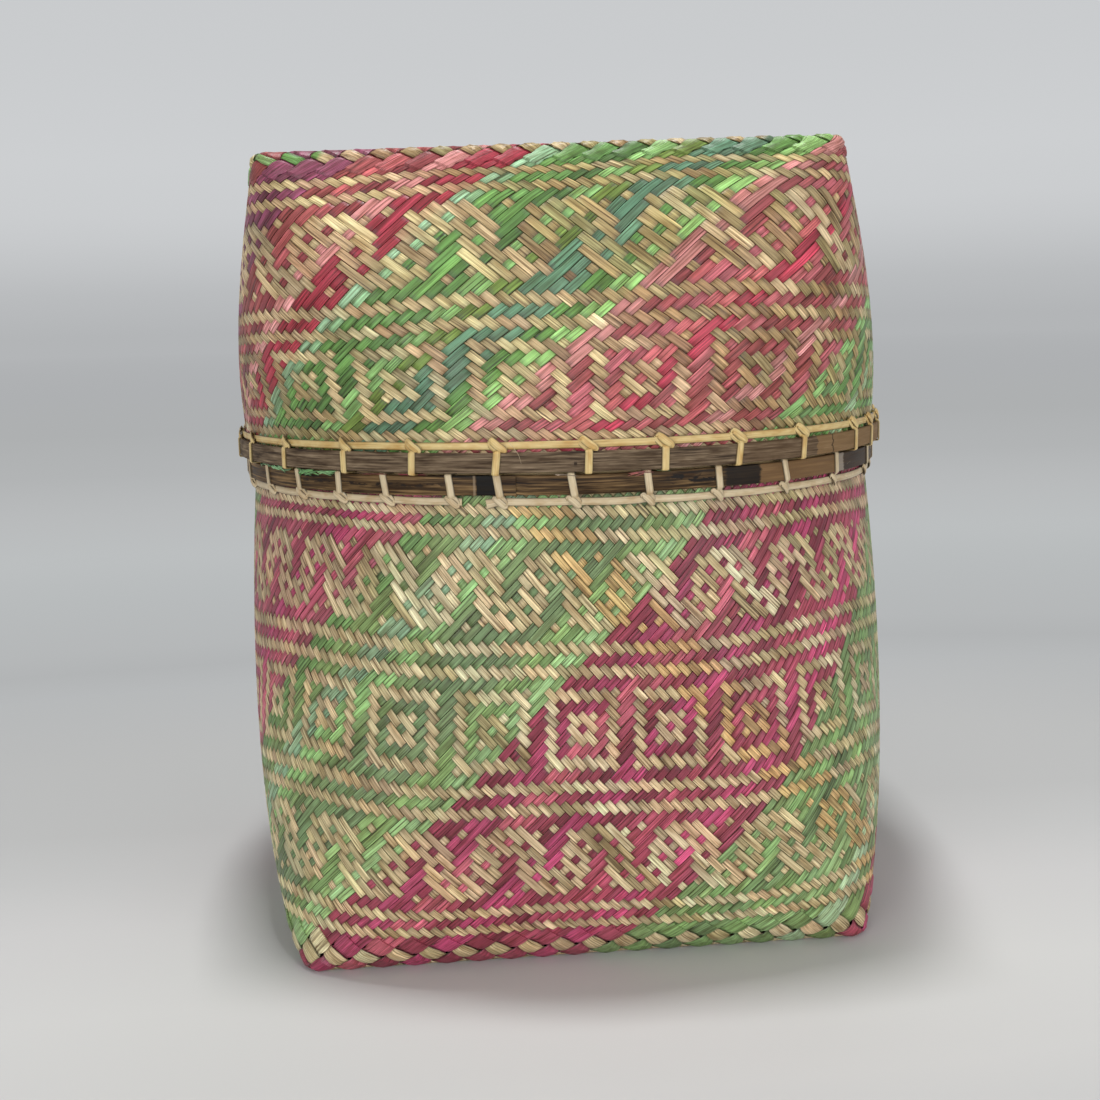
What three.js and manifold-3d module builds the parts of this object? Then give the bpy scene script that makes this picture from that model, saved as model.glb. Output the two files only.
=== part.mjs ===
// Lidded box of plaited bamboo: square base and square lid that each grow into a round mouth, with
// bamboo hoops lashed to both mouths by one long cane, and an inner collar that the lid slips over.
// Millimetres, +Z up, origin under the middle of the mouth on the surface the box stands on, front at -Y.

import * as THREE from 'three';
import { mergeVertices } from 'three/addons/utils/BufferGeometryUtils.js';
import Module from 'manifold-3d';

const wasm = await Module();
wasm.setup();

// Clearances
const fitGap = 0.3; // between pieces that press on each other on the real box
const slideGap = 0.4; // between the collar and the lid's cane, so that the lid slips on and off

// Base basket
const baseSide = 232; // across the folded bottom edges
const baseCornerRadius = 8;
const baseHeight = 198.5; // floor to rim
const baseMouthRadius = 139; // outer face of the weave at the rim
const baseGirth = 38; // girth that the belly adds half way up
const baseRounding = 0.5; // below 1 the square corners round off early, above 1 late
const baseBellyPlace = 0.8; // below 1 the belly sits low, above 1 high
const bottomShift = -3; // the bottom was folded a little to the left of the mouth

// Lid basket
const lidSide = 224;
const lidCornerRadius = 8;
const lidHeight = 120;
const lidGirth = 22;
const lidRounding = 0.84;
const lidBellyPlace = 1.28;
const lidTurn = THREE.MathUtils.degToRad(-6.6); // as it was last put on, seen from above

// Weave
const weaveThickness = 1.4;
const foldRadius = 3; // where the walls fold into the bottom and the top
const ringSteps = 56; // facets round a mouth, a multiple of 8 so that corners fall on a vertex
const wallRings = 6;

// Hoops and collar
const hoopHeight = 7.4;
const outerHoopThickness = 2.1;
const innerHoopThickness = 1.5;
const hoopChamfer = 0.5;
const lapLength = 34; // the scarfed ends of an outer hoop lie over each other this far
const lapTip = 0.6; // thickness left at the thin end of a scarf
const lapStep = 1.2; // open space in front of each end
const baseLapAngle = -26; // where the lap starts, degrees to the right of the front
const lidLapAngle = 150;
const collarThickness = 1.2;
const collarRise = 26; // above the rim of the base
const collarChamfer = 0.3;

// Cane lashing, a flat strip with its ties placed by hand, in degrees to the right of the front
const caneWidth = 2.9;
const caneThickness = 0.7;
const runnerDrop = 1.5; // weave showing between a hoop and the runner below it
const neckSpare = 2; // round neck left below the runner
const knotWidth = 2.1; // the cane curls up where it doubles back over itself
const slotSide = 1.1; // between a tie and the slot to its left where the cane comes back out
const slotGap = 0.3; // room round the cane where it goes through the weave
const baseTies = [-14.4, -3.4, 8, 19.6, 33, 46.6, 62.8, ...evenly(74.4, 284.4, 19), 296.8, 307.8, 317.6, 327,
    338];
const lidTies = [...evenly(162, 278.7, 11), 291.6, 305.4, 319.8, 332.4, 343.2, 358.8, 370.2, 382.6, 395.6, 411.6,
    420.4, 430.4, ...evenly(440.4, 510.4, 7)];

const seamGap = caneThickness + 2 * fitGap; // between the two rims, where the ties pass over them

// Radii that follow at the two mouths
const baseMouthInner = baseMouthRadius - weaveThickness;
const collarOuter = baseMouthInner - fitGap;
const collarInner = collarOuter - collarThickness;
const baseInnerHoopOuter = collarInner - fitGap;
const lidInnerHoopInner = collarOuter + slideGap + caneThickness + fitGap;
const lidMouthInner = lidInnerHoopInner + innerHoopThickness + fitGap;
const lidMouthRadius = lidMouthInner + weaveThickness;

// The runner lies under the hoop, and the neck of each basket is round as far as that and a little more
const runnerBelowRim = hoopHeight + runnerDrop + caneWidth / 2;
const neckHeight = runnerBelowRim + caneWidth / 2 + neckSpare;

const caneLay = fitGap + caneThickness / 2; // middle of the cane above what it lies on
const slotOffset = caneWidth + slotSide;
const runnerSpare = 2.5; // least length of runner between a tie and the next facet of the wall

const frontAngle = -Math.PI / 2;
const stepAngle = 2 * Math.PI / ringSteps;

function evenly(from, to, count) {
    return Array.from({ length: count }, (unused, k) => from + (to - from) * k / (count - 1));
}

function fromFront(degrees) {
    return frontAngle + THREE.MathUtils.degToRad(degrees);
}

// Radius of a faceted ring at any angle: full at its vertices and a little less between them
function facetRadius(radius, angle) {
    const offMiddle = THREE.MathUtils.euclideanModulo(angle, stepAngle) - stepAngle / 2;
    return radius * Math.cos(stepAngle / 2) / Math.cos(offMiddle);
}

function onRing(radius, angle, z) {
    return new THREE.Vector3(radius * Math.cos(angle), radius * Math.sin(angle), z);
}

// Closed skin through rings of equally many points, with a flat or pointed cap at each end
function loft(rings, firstCap, lastCap) {
    const count = rings[0].length;
    const points = rings.flat();
    const faces = [];
    for (let i = 0; i < rings.length - 1; i++) {
        for (let k = 0; k < count; k++) {
            const next = (k + 1) % count;
            const a = i * count + k;
            const b = i * count + next;
            faces.push(a, b, b + count, a, b + count, a + count);
        }
    }
    const last = (rings.length - 1) * count;
    const firstIndex = points.length;
    points.push(firstCap, lastCap);
    for (let k = 0; k < count; k++) {
        const next = (k + 1) % count;
        faces.push(firstIndex, next, k);
        faces.push(firstIndex + 1, last + k, last + next);
    }
    const geometry = new THREE.BufferGeometry().setFromPoints(points);
    geometry.setIndex(faces);
    return geometry;
}

function middleOf(ring) {
    const sum = ring.reduce((total, point) => total.add(point), new THREE.Vector3());
    return sum.divideScalar(ring.length);
}

function toSolid(geometry) {
    const bare = geometry.clone();
    bare.deleteAttribute('normal');
    bare.deleteAttribute('uv');
    const merged = mergeVertices(bare, 1e-4);
    return new wasm.Manifold(new wasm.Mesh({
        numProp: 3,
        vertProperties: new Float32Array(merged.attributes.position.array),
        triVerts: new Uint32Array(merged.index.array),
    }));
}

function toGeometry(solid) {
    const mesh = solid.getMesh();
    const geometry = new THREE.BufferGeometry();
    geometry.setAttribute('position', new THREE.BufferAttribute(mesh.vertProperties, 3));
    geometry.setIndex(new THREE.BufferAttribute(mesh.triVerts, 1));
    geometry.computeVertexNormals();
    return geometry;
}

// Rounded square with its points spread evenly round it, so that equal lengths of weave stay above
// each other all the way from the square bottom to the round mouth
function roundedSquare(halfSide, cornerRadius, shiftX, z) {
    const straight = halfSide - cornerRadius;
    const sideLength = 2 * straight + cornerRadius * Math.PI / 2;
    const ring = [];
    for (let k = 0; k < ringSteps; k++) {
        const sides = 4 * k / ringSteps;
        const side = Math.round(sides);
        const along = (sides - side) * sideLength;
        const past = Math.max(Math.abs(along) - straight, 0) / cornerRadius;
        const out = straight + cornerRadius * Math.cos(past);
        const across = Math.sign(along) * (Math.min(Math.abs(along), straight) + cornerRadius * Math.sin(past));
        const turn = side * Math.PI / 2;
        ring.push(new THREE.Vector3(
            out * Math.cos(turn) - across * Math.sin(turn) + shiftX,
            out * Math.sin(turn) + across * Math.cos(turn),
            z,
        ));
    }
    return ring;
}

// Basket wall at a height: the corners open out while the girth goes from that of the square to
// that of the mouth, with a belly in between
function wallSection(basket, z, inset) {
    const rise = basket.height - neckHeight - foldRadius;
    const s = THREE.MathUtils.clamp((z - foldRadius) / rise, 0, 1);
    const cornerCut = 8 - 2 * Math.PI;
    const firstGirth = 4 * basket.side - cornerCut * basket.cornerRadius;
    const lastGirth = 2 * Math.PI * basket.mouthRadius;
    const belly = s ** basket.bellyPlace;
    const girth = firstGirth + (lastGirth - firstGirth) * s + basket.girth * 4 * belly * (1 - belly);
    const opening = s ** basket.rounding;
    const corner = basket.cornerRadius + (basket.mouthRadius - basket.cornerRadius) * opening;
    const halfSide = (girth + cornerCut * corner) / 8;
    return roundedSquare(halfSide - inset, corner - inset, basket.shift * (1 - s), z);
}

// One-piece plaited basket, open at its round mouth, standing on its square bottom
function basketShell(basket) {
    const foldHeights = [0, 0.3, 1].map((part) => part * foldRadius);
    const foldInset = (z) => foldRadius - Math.sqrt(foldRadius ** 2 - (foldRadius - z) ** 2);
    const outer = foldHeights.map((z) => wallSection(basket, z, foldInset(z)));
    const rise = basket.height - neckHeight - foldRadius;
    const heights = [];
    for (let j = 1; j <= wallRings; j++) {
        heights.push(foldRadius + rise * (j / wallRings) ** 1.4);
    }
    heights.push(basket.height);
    heights.forEach((z) => outer.push(wallSection(basket, z, 0)));
    const inner = [wallSection(basket, weaveThickness, foldRadius + weaveThickness / 2)];
    inner.push(wallSection(basket, foldRadius + weaveThickness, weaveThickness));
    heights.forEach((z, index) => {
        if (index > 0) {
            inner.push(wallSection(basket, z, weaveThickness));
        }
    });
    inner.reverse();
    const rings = [...outer, ...inner];
    return loft(rings, middleOf(rings[0]), middleOf(rings[rings.length - 1]));
}

// Ring of a closed profile given as [radius, z] pairs, turned round the axis
function turnedRing(profile) {
    const points = [...profile, profile[0]].map(([radius, z]) => new THREE.Vector2(radius, z));
    const geometry = new THREE.LatheGeometry(points, ringSteps);
    geometry.rotateX(Math.PI / 2);
    return toGeometry(toSolid(geometry));
}

// Outer hoop: a strip bent round, with its two ends scarfed thin and laid over each other
function outerHoop(innerRadius, topZ, lapStart) {
    const lap = lapLength / innerRadius;
    const step = lapStep / innerRadius;
    const full = outerHoopThickness;
    const firstEnd = lapStart;
    const lastEnd = lapStart + 2 * Math.PI + lap;
    const stops = [
        [firstEnd, 0, lapTip],
        [firstEnd + lap, 0, full - lapTip - fitGap],
        [firstEnd + lap + step, 0, full],
        [lastEnd - lap - step, 0, full],
        [lastEnd - lap, lapTip + fitGap, full],
        [lastEnd, full - lapTip, full],
    ];
    const angles = stops.map((stop) => stop[0]);
    for (let k = Math.ceil(firstEnd / stepAngle); k * stepAngle < lastEnd; k++) {
        if (stops.every((stop) => Math.abs(stop[0] - k * stepAngle) > step / 2)) {
            angles.push(k * stepAngle);
        }
    }
    angles.sort((a, b) => a - b);
    const rings = angles.map((angle) => {
        const after = Math.max(1, stops.findIndex((stop) => stop[0] >= angle - 1e-9));
        const [from, innerFrom, outerFrom] = stops[after - 1];
        const [to, innerTo, outerTo] = stops[after];
        const part = (angle - from) / (to - from);
        const inner = innerRadius + THREE.MathUtils.lerp(innerFrom, innerTo, part);
        const outer = innerRadius + THREE.MathUtils.lerp(outerFrom, outerTo, part);
        const chamfer = Math.min(hoopChamfer, (outer - inner) / 2);
        const section = [
            [inner, 0],
            [inner, hoopHeight],
            [outer - chamfer, hoopHeight],
            [outer, hoopHeight - chamfer],
            [outer, chamfer],
            [outer - chamfer, 0],
        ];
        return section.map(([radius, z]) => onRing(radius, angle, topZ - hoopHeight + z));
    });
    return toGeometry(toSolid(loft(rings, middleOf(rings[0]), middleOf(rings[rings.length - 1]))));
}

// Way of the cane round one tie. Each stop is [along, out, up, facing, width]: along the rim to the
// right, outward from the face of the weave, up from the runner, and the way the flat side looks
function tieStops(rim) {
    const hoopFoot = caneWidth / 2 + runnerDrop;
    const hoopTop = hoopFoot + hoopHeight;
    const hoopFace = fitGap + outerHoopThickness + caneLay;
    const insideFace = -rim.depth - caneLay;
    const bend = 0.69 * caneLay; // the cane rounds an edge between these two
    const rise = 0.46 * caneLay;
    const overBar = hoopFace + caneThickness;
    const outward = [0, 1, 0];
    const upward = [0, 0, 1];
    const inward = [0, -1, 0];
    const downward = [0, 0, -1];
    return {
        arrive: [
            [-0.86 * caneWidth, caneLay, 0, outward, caneWidth],
            [-0.21 * caneWidth, caneLay + 0.8, 0.31 * caneWidth, outward, caneWidth],
            [0, hoopFace, hoopFoot - 0.4, outward, caneWidth],
        ],
        wrap: [
            [0, hoopFace, hoopTop + rise, outward, caneWidth],
            [0, hoopFace - bend, hoopTop + caneLay, upward, caneWidth],
            [0, insideFace + bend, hoopTop + caneLay, upward, caneWidth],
            [0, insideFace, hoopTop + rise, inward, caneWidth],
            [-slotOffset, insideFace, hoopFoot - rise, inward, caneWidth],
            [-slotOffset, insideFace + bend, hoopFoot - caneLay, downward, caneWidth],
            [-slotOffset, caneLay + 0.9, hoopFoot - caneLay, downward, knotWidth],
        ],
        hitch: [
            [-slotOffset + 0.5, overBar - 0.8, hoopFoot - caneLay - 0.9, [0, 0.5, -1], knotWidth],
            [-0.48 * caneWidth, overBar + 0.2, 0.28 * caneWidth, outward, knotWidth],
            [0.34 * caneWidth, overBar - 0.5, -0.14 * caneWidth, outward, knotWidth],
        ],
        leave: [
            [caneWidth, caneLay + 0.6, -0.28 * caneWidth, outward, knotWidth],
            [1.8 * caneWidth, caneLay, 0, outward, caneWidth],
        ],
    };
}

// The cane as one unbroken flat strip: in from the left, over the hoops and through the weave at
// each tie, once over itself as a hitch, and on to the next tie
function caneRoute(rim) {
    const stops = tieStops(rim);
    const runnerZ = rim.height - runnerBelowRim;
    const route = [];
    const add = (angle, out, up, facing, width) => {
        const direction = new THREE.Vector3(
            facing[1] * Math.cos(angle) - facing[0] * Math.sin(angle),
            facing[1] * Math.sin(angle) + facing[0] * Math.cos(angle),
            facing[2],
        );
        route.push({ point: onRing(facetRadius(rim.radius, angle) + out, angle, runnerZ + up), direction, width });
    };
    rim.ties.forEach((tie, index) => {
        const last = index === rim.ties.length - 1;
        const place = ([along, out, up, facing, width]) => add(tie + along / rim.radius, out, up, facing, width);
        stops.arrive.forEach(place);
        stops.wrap.forEach(place);
        stops.hitch.forEach(place);
        stops.leave.slice(0, last ? 1 : 2).forEach(place);
        if (!last) {
            const from = tie + (stops.leave[1][0] + runnerSpare) / rim.radius;
            const to = rim.ties[index + 1] + (stops.arrive[0][0] - runnerSpare) / rim.radius;
            for (let k = Math.ceil(from / stepAngle); k * stepAngle < to; k++) {
                add(k * stepAngle, caneLay, 0, [0, 1, 0], caneWidth);
            }
        }
    });
    return route;
}

// Four corners of the strip's section at each stop of its route
function caneSections(route) {
    return route.map(({ point, direction, width }, i) => {
        const before = route[Math.max(i - 1, 0)].point;
        const after = route[Math.min(i + 1, route.length - 1)].point;
        const back = point.clone().sub(before).normalize();
        const ahead = after.clone().sub(point).normalize();
        const tangent = back.add(ahead).normalize();
        const face = direction.clone().addScaledVector(tangent, -direction.dot(tangent)).normalize();
        const edge = new THREE.Vector3().crossVectors(face, tangent);
        const corner = (side, front) => point.clone()
            .addScaledVector(edge, side * width / 2)
            .addScaledVector(face, front * caneThickness / 2);
        return [corner(-1, -1), corner(1, -1), corner(1, 1), corner(-1, 1)];
    });
}

// Least distance between stretches of the strip that aren't neighbours along it
function leastGap(sections) {
    const perStop = 4;
    const samples = [];
    for (let i = 0; i < sections.length - 1; i++) {
        for (let part = 0; part < perStop; part++) {
            const along = part / perStop;
            const ring = sections[i].map((point, k) => point.clone().lerp(sections[i + 1][k], along));
            const middles = ring.map((point, k) => point.clone().lerp(ring[(k + 1) % 4], 0.5));
            samples.push([...ring, ...middles]);
        }
    }
    const apart = 4 * perStop;
    const reach = 24 * perStop;
    let least = Infinity;
    for (let i = 0; i < samples.length; i++) {
        for (let j = i + apart; j < Math.min(i + reach, samples.length); j++) {
            for (const a of samples[i]) {
                for (const b of samples[j]) {
                    least = Math.min(least, a.distanceTo(b));
                }
            }
        }
    }
    return least;
}

function lashing(rim, label) {
    const sections = caneSections(caneRoute(rim));
    console.log(`${label}: ${rim.ties.length} ties, least gap of the cane to itself`,
        leastGap(sections).toFixed(2), 'mm');
    return loft(sections, middleOf(sections[0]), middleOf(sections[sections.length - 1]));
}

// Cuts a slot for the cane at every tie, through a wall whose outer face has the given radius
function cutSlots(geometry, rim, along, faceRadius, wall, z) {
    const width = caneWidth + 2 * slotGap;
    const height = caneThickness + 2 * slotGap;
    let solid = toSolid(geometry);
    for (const tie of rim.ties) {
        const angle = tie + along / rim.radius;
        const cutter = new THREE.BoxGeometry(wall + 2, width, height);
        cutter.translate(faceRadius - wall / 2, 0, z);
        cutter.rotateZ(angle);
        solid = solid.subtract(toSolid(cutter));
    }
    return toGeometry(solid);
}

function wallSlots(geometry, rim) {
    return cutSlots(geometry, rim, -slotOffset, rim.radius, weaveThickness, rim.height - hoopHeight - caneLay);
}

function mesh(name, geometry, color, roughness) {
    const material = new THREE.MeshStandardMaterial({ color, roughness, metalness: 0 });
    const piece = new THREE.Mesh(geometry, material);
    piece.name = name;
    return piece;
}

// Colours read as real finishes: dyed weave, weathered hoops, pale cane
const dyedWeave = 0x9a8a5c;
const lidWeave = 0xa98262;
const darkBamboo = 0x3f2c20;
const greyBamboo = 0x6b6158;
const plainBamboo = 0xc2a878;
const strawCane = 0xd9bf7e;
const paleCane = 0xcfb892;

const baseBasket = {
    side: baseSide,
    cornerRadius: baseCornerRadius,
    height: baseHeight,
    mouthRadius: baseMouthRadius,
    girth: baseGirth,
    rounding: baseRounding,
    bellyPlace: baseBellyPlace,
    shift: bottomShift,
};
const lidBasket = {
    side: lidSide,
    cornerRadius: lidCornerRadius,
    height: lidHeight,
    mouthRadius: lidMouthRadius,
    girth: lidGirth,
    rounding: lidRounding,
    bellyPlace: lidBellyPlace,
    shift: 0,
};
const baseRim = {
    radius: baseMouthRadius,
    height: baseHeight,
    depth: baseMouthRadius - baseInnerHoopOuter + innerHoopThickness,
    ties: baseTies.map(fromFront),
};
// The lid is made mouth up and then turned over, so its ties are counted the other way round
const lidRim = {
    radius: lidMouthRadius,
    height: lidHeight,
    depth: lidMouthRadius - lidInnerHoopInner,
    ties: lidTies.map((degrees) => lidTurn - fromFront(degrees)).reverse(),
};

function rectangle(inner, outer, low, high) {
    return [[inner, low], [outer, low], [outer, high], [inner, high]];
}

function base() {
    const group = new THREE.Group();
    group.add(mesh('base_basket', wallSlots(basketShell(baseBasket), baseRim), dyedWeave, 0.75));
    const hoopInner = baseMouthRadius + fitGap;
    group.add(mesh('base_outer_hoop', outerHoop(hoopInner, baseHeight, fromFront(baseLapAngle)), darkBamboo, 0.5));
    const hoopLow = baseHeight - hoopHeight;
    const innerHoop = rectangle(baseInnerHoopOuter - innerHoopThickness, baseInnerHoopOuter, hoopLow, baseHeight);
    group.add(mesh('base_inner_hoop', turnedRing(innerHoop), darkBamboo, 0.6));
    const collarTop = baseHeight + collarRise;
    const collarProfile = [
        [collarInner, hoopLow],
        [collarOuter, hoopLow],
        [collarOuter, collarTop - collarChamfer],
        [collarOuter - collarChamfer, collarTop],
        [collarInner + collarChamfer, collarTop],
        [collarInner, collarTop - collarChamfer],
    ];
    const tieZ = baseHeight + caneLay;
    const collar = cutSlots(turnedRing(collarProfile), baseRim, 0, collarOuter, collarThickness, tieZ);
    group.add(mesh('base_collar', collar, plainBamboo, 0.7));
    group.add(mesh('base_lashing', lashing(baseRim, 'base lashing'), paleCane, 0.6));
    return group;
}

function lid() {
    const group = new THREE.Group();
    group.add(mesh('lid_basket', wallSlots(basketShell(lidBasket), lidRim), lidWeave, 0.75));
    const lapStart = lidTurn - fromFront(lidLapAngle);
    group.add(mesh('lid_outer_hoop', outerHoop(lidMouthRadius + fitGap, lidHeight, lapStart), greyBamboo, 0.8));
    const hoopLow = lidHeight - hoopHeight;
    const innerHoop = rectangle(lidInnerHoopInner, lidInnerHoopInner + innerHoopThickness, hoopLow, lidHeight);
    group.add(mesh('lid_inner_hoop', turnedRing(innerHoop), greyBamboo, 0.8));
    group.add(mesh('lid_lashing', lashing(lidRim, 'lid lashing'), strawCane, 0.6));
    group.rotation.x = Math.PI;
    const turned = new THREE.Group();
    turned.add(group);
    turned.rotation.z = lidTurn;
    turned.position.z = baseHeight + seamGap + lidHeight;
    return turned;
}

const box = new THREE.Group();
box.add(base(), lid());

export default box;
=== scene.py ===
import math
import bpy
import numpy as np
from mathutils import Matrix, Vector


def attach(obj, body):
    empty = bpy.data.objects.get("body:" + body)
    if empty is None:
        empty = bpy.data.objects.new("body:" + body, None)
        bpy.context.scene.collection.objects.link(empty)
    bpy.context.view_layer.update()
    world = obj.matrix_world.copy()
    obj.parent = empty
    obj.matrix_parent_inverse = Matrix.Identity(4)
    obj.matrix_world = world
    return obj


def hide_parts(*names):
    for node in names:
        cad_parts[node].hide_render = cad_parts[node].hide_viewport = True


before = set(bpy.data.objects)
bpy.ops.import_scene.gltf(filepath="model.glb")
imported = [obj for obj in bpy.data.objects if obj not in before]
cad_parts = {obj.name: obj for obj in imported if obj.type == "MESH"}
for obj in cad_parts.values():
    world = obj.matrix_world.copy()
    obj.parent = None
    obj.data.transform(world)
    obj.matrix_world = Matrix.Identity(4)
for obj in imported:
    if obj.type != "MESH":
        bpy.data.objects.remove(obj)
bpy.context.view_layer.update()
print("box: frame loaded")

mm = 0.001
quarterTurn = math.pi / 2
fullTurn = 2 * math.pi

# places round a basket are shares of a turn from its right side by way of the back
frontLeft, backLeft = 0.625, 0.375

# Both baskets start as a folded square and grow into a round mouth; lengths in mm. Levels count rows of
# the weave up from the fold and lengths say how far up the outside they lie.
baseBasket = {
    "side": 232, "cornerRadius": 8, "height": 198.5, "mouthRadius": 139, "girth": 38,
    "rounding": 0.5, "bellyPlace": 0.8, "shift": -3, "neckHeight": 13.8, "foldRadius": 3,
    "wide": 18,          # broad strips on a side
    "split": 3,          # fine strips that each broad one is split into
    "corner": frontLeft,     # the corner on which strip 0 stands
    "levels": [0, 3, 6, 9.5, 13.5, 32.5, 36.5, 46, 55.5, 59.5, 78.5, 82.5, 89],
    "lengths": [4.2, 11.2, 18.2, 26.6, 34.9, 77.9, 85.8, 108.7, 130.7, 139.3, 183.2, 190.9, 204.6],
    "lastLevel": 88.6,
    # the rows sag in the middle of each side and climb at the corners, and lean over to one side higher up
    "sagLevels": [0, 3, 6, 9.5, 13.5, 32.5, 36.5, 46, 55.5, 59.5, 78.5, 82.5, 88.6],
    "sagMiddle": [0, 0.2, -0.6, -1.7, -1.8, -1.3, -1.0, -0.35, -0.1, 0, -0.3, 0.2, 0],
    "sagCorner": [0, 0.3, 0.3, 0.4, 0.8, 0.9, 1.6, 1.5, 1.6, 1.7, 0.85, 0.3, 0],
    "lean": [0, 0, 0, 0, 0, 0, 0, 0, 0, 0.3, 1.35, 0.4, 0], "leanPeriod": 216, "leanTop": -27,
}
lidBasket = {
    "side": 224, "cornerRadius": 8, "height": 120, "mouthRadius": 141.9, "girth": 22,
    "rounding": 0.84, "bellyPlace": 1.28, "shift": 0, "neckHeight": 13.8, "foldRadius": 3,
    "wide": 20, "split": 2, "corner": backLeft,
    "levels": [0, 2, 4.3, 6.5, 8.5, 10.5, 12.5, 13.5, 29.5, 33.5, 37.5, 48.5, 52.5, 59],
    "lengths": [3.6, 6.6, 10.3, 13.3, 16.6, 20.0, 23.6, 25.9, 64.3, 73.0, 81.2, 105.9, 113.0, 126.4],
    "lastLevel": 58.4,
    "sagLevels": [0, 6.5, 10.5, 14, 26, 29.5, 33.5, 43, 50, 58.4],
    "sagMiddle": [0] * 10, "sagCorner": [0] * 10,
    "lean": [1.3, 2.1, 2.2, 1.9, 1.35, 1.4, 1.3, 0.45, 0, 0], "leanPeriod": 80, "leanTop": 8,
}
# the lid is worked mouth up like the base, then turned over and set down with its top at this height
lidTurn = math.radians(-6.6)
lidTop = 319.8


def lidPlace():
    turned = Matrix.Rotation(lidTurn, 4, "Z") @ Matrix.Rotation(math.pi, 4, "X")
    return Matrix.Translation((0, 0, lidTop * mm)) @ turned


def wallSection(basket, z):
    # at a height: half the width and the corner radius of the outline, and how far up the wall that is
    rise = basket["height"] - basket["neckHeight"] - basket["foldRadius"]
    part = np.clip((z - basket["foldRadius"]) / rise, 0, 1)
    cut = 8 - fullTurn
    first = 4 * basket["side"] - cut * basket["cornerRadius"]
    last = fullTurn * basket["mouthRadius"]
    belly = part ** basket["bellyPlace"]
    girth = first + (last - first) * part + basket["girth"] * 4 * belly * (1 - belly)
    widening = basket["mouthRadius"] - basket["cornerRadius"]
    corner = basket["cornerRadius"] + widening * part ** basket["rounding"]
    return (girth + cut * corner) / 8, corner, part


def outline(half, corner, turn):
    # point on a rounded square, the same share of its length round as turn is of a whole turn
    straight = half - corner
    sideLength = 2 * straight + corner * quarterTurn
    sides = 4 * turn
    side = np.round(sides)
    along = (sides - side) * sideLength
    past = np.maximum(np.abs(along) - straight, 0) / np.maximum(corner, 1e-6)
    out = straight + corner * np.cos(past)
    across = np.sign(along) * (np.minimum(np.abs(along), straight) + corner * np.sin(past))
    angle = side * quarterTurn
    return out * np.cos(angle) - across * np.sin(angle), out * np.sin(angle) + across * np.cos(angle)


def measureWall(basket):
    # length up the middle of a side against height
    z = np.linspace(basket["foldRadius"], basket["height"], 300)
    half = wallSection(basket, z)[0]
    basket["wallZ"] = z
    basket["wallLength"] = np.concatenate([[0], np.cumsum(np.hypot(np.diff(z), np.diff(half)))])


def skinPoint(basket, turn, length):
    # length runs up the outside in mm from where the flat bottom starts to fold; below 0 it is the bottom
    fold = basket["foldRadius"]
    arc = fold * quarterTurn
    angle = np.clip(length / fold, 0, quarterTurn)
    wall = np.interp(length - arc, basket["wallLength"], basket["wallZ"])
    z = np.where(length > arc, wall, fold * (1 - np.cos(angle)))
    half, corner, part = wallSection(basket, z)
    inset = fold * (1 - np.sin(angle))
    flat = np.minimum(length, 0)
    flatHalf = basket["side"] / 2 - fold
    nearEdge = np.clip((flatHalf + flat) / flatHalf, 0, 1)
    x, y = outline(half - inset + flat, (corner - inset) * nearEdge ** 4, turn)
    return np.stack([x + basket["shift"] * (1 - part), y, z], -1)


def skin(basket, turn, length, height):
    # point on the basket, height mm outside its face
    point = skinPoint(basket, turn, length)
    sideways = skinPoint(basket, turn + 2e-5, length) - skinPoint(basket, turn - 2e-5, length)
    up = skinPoint(basket, turn, length + 0.02) - skinPoint(basket, turn, length - 0.02)
    normal = np.cross(sideways, up)
    size = np.linalg.norm(normal, axis=-1, keepdims=True)
    down = np.array([0.0, 0.0, -1.0])
    normal = np.where((length[..., None] < 0) | (size < 1e-12), down, normal / np.maximum(size, 1e-12))
    return point + normal * height[..., None]


def flatRow(basket):
    # mm that one level takes on the flat bottom
    return basket["side"] / basket["wide"] / (2 * basket["split"])


def lengthAt(basket, level):
    below = basket["lengths"][0] + level * flatRow(basket)
    return np.where(level < 0, below, np.interp(level, basket["levels"], basket["lengths"]))


def levelAt(basket, length):
    start = basket["lengths"][0]
    below = (length - start) / flatRow(basket)
    return np.where(length < start, below, np.interp(length, basket["lengths"], basket["levels"]))


def sagRows(basket, turn, length):
    # moves a point up or down with the way the rows of the weave sag and lean
    perSide = basket["wide"] * basket["split"]
    place = (turn - basket["corner"]) * 4 * perSide
    level = levelAt(basket, length)
    # 0 in the middle of a side, 1 at its corners
    share = np.clip((np.abs(place % perSide - perSide / 2) / (perSide / 2) - 0.4) / 0.6, 0, 1)
    share = share * share * (3 - 2 * share)
    middle, corner, lean = (np.interp(level, basket["sagLevels"], basket[key])
                            for key in ("sagMiddle", "sagCorner", "lean"))
    shift = middle * (1 - share) + corner * share
    shift = shift + lean * np.cos(fullTurn * (place - basket["leanTop"]) / basket["leanPeriod"])
    shift = shift * np.clip(1 + level / 10, 0, 1)       # it fades out on the bottom
    return length + lengthAt(basket, level + shift) - lengthAt(basket, level)


for basket in (baseBasket, lidBasket):
    measureWall(basket)


white = (255, 255, 255)


def linear(colour):
    # colours are written as they look on a screen, 0 to 255
    c = np.asarray(colour, float) / 255
    return np.where(c <= 0.04045, c / 12.92, ((c + 0.055) / 1.055) ** 2.4)


def selectOnly(piece):
    bpy.ops.object.select_all(action="DESELECT")
    piece.select_set(True)
    bpy.context.view_layer.objects.active = piece


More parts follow.
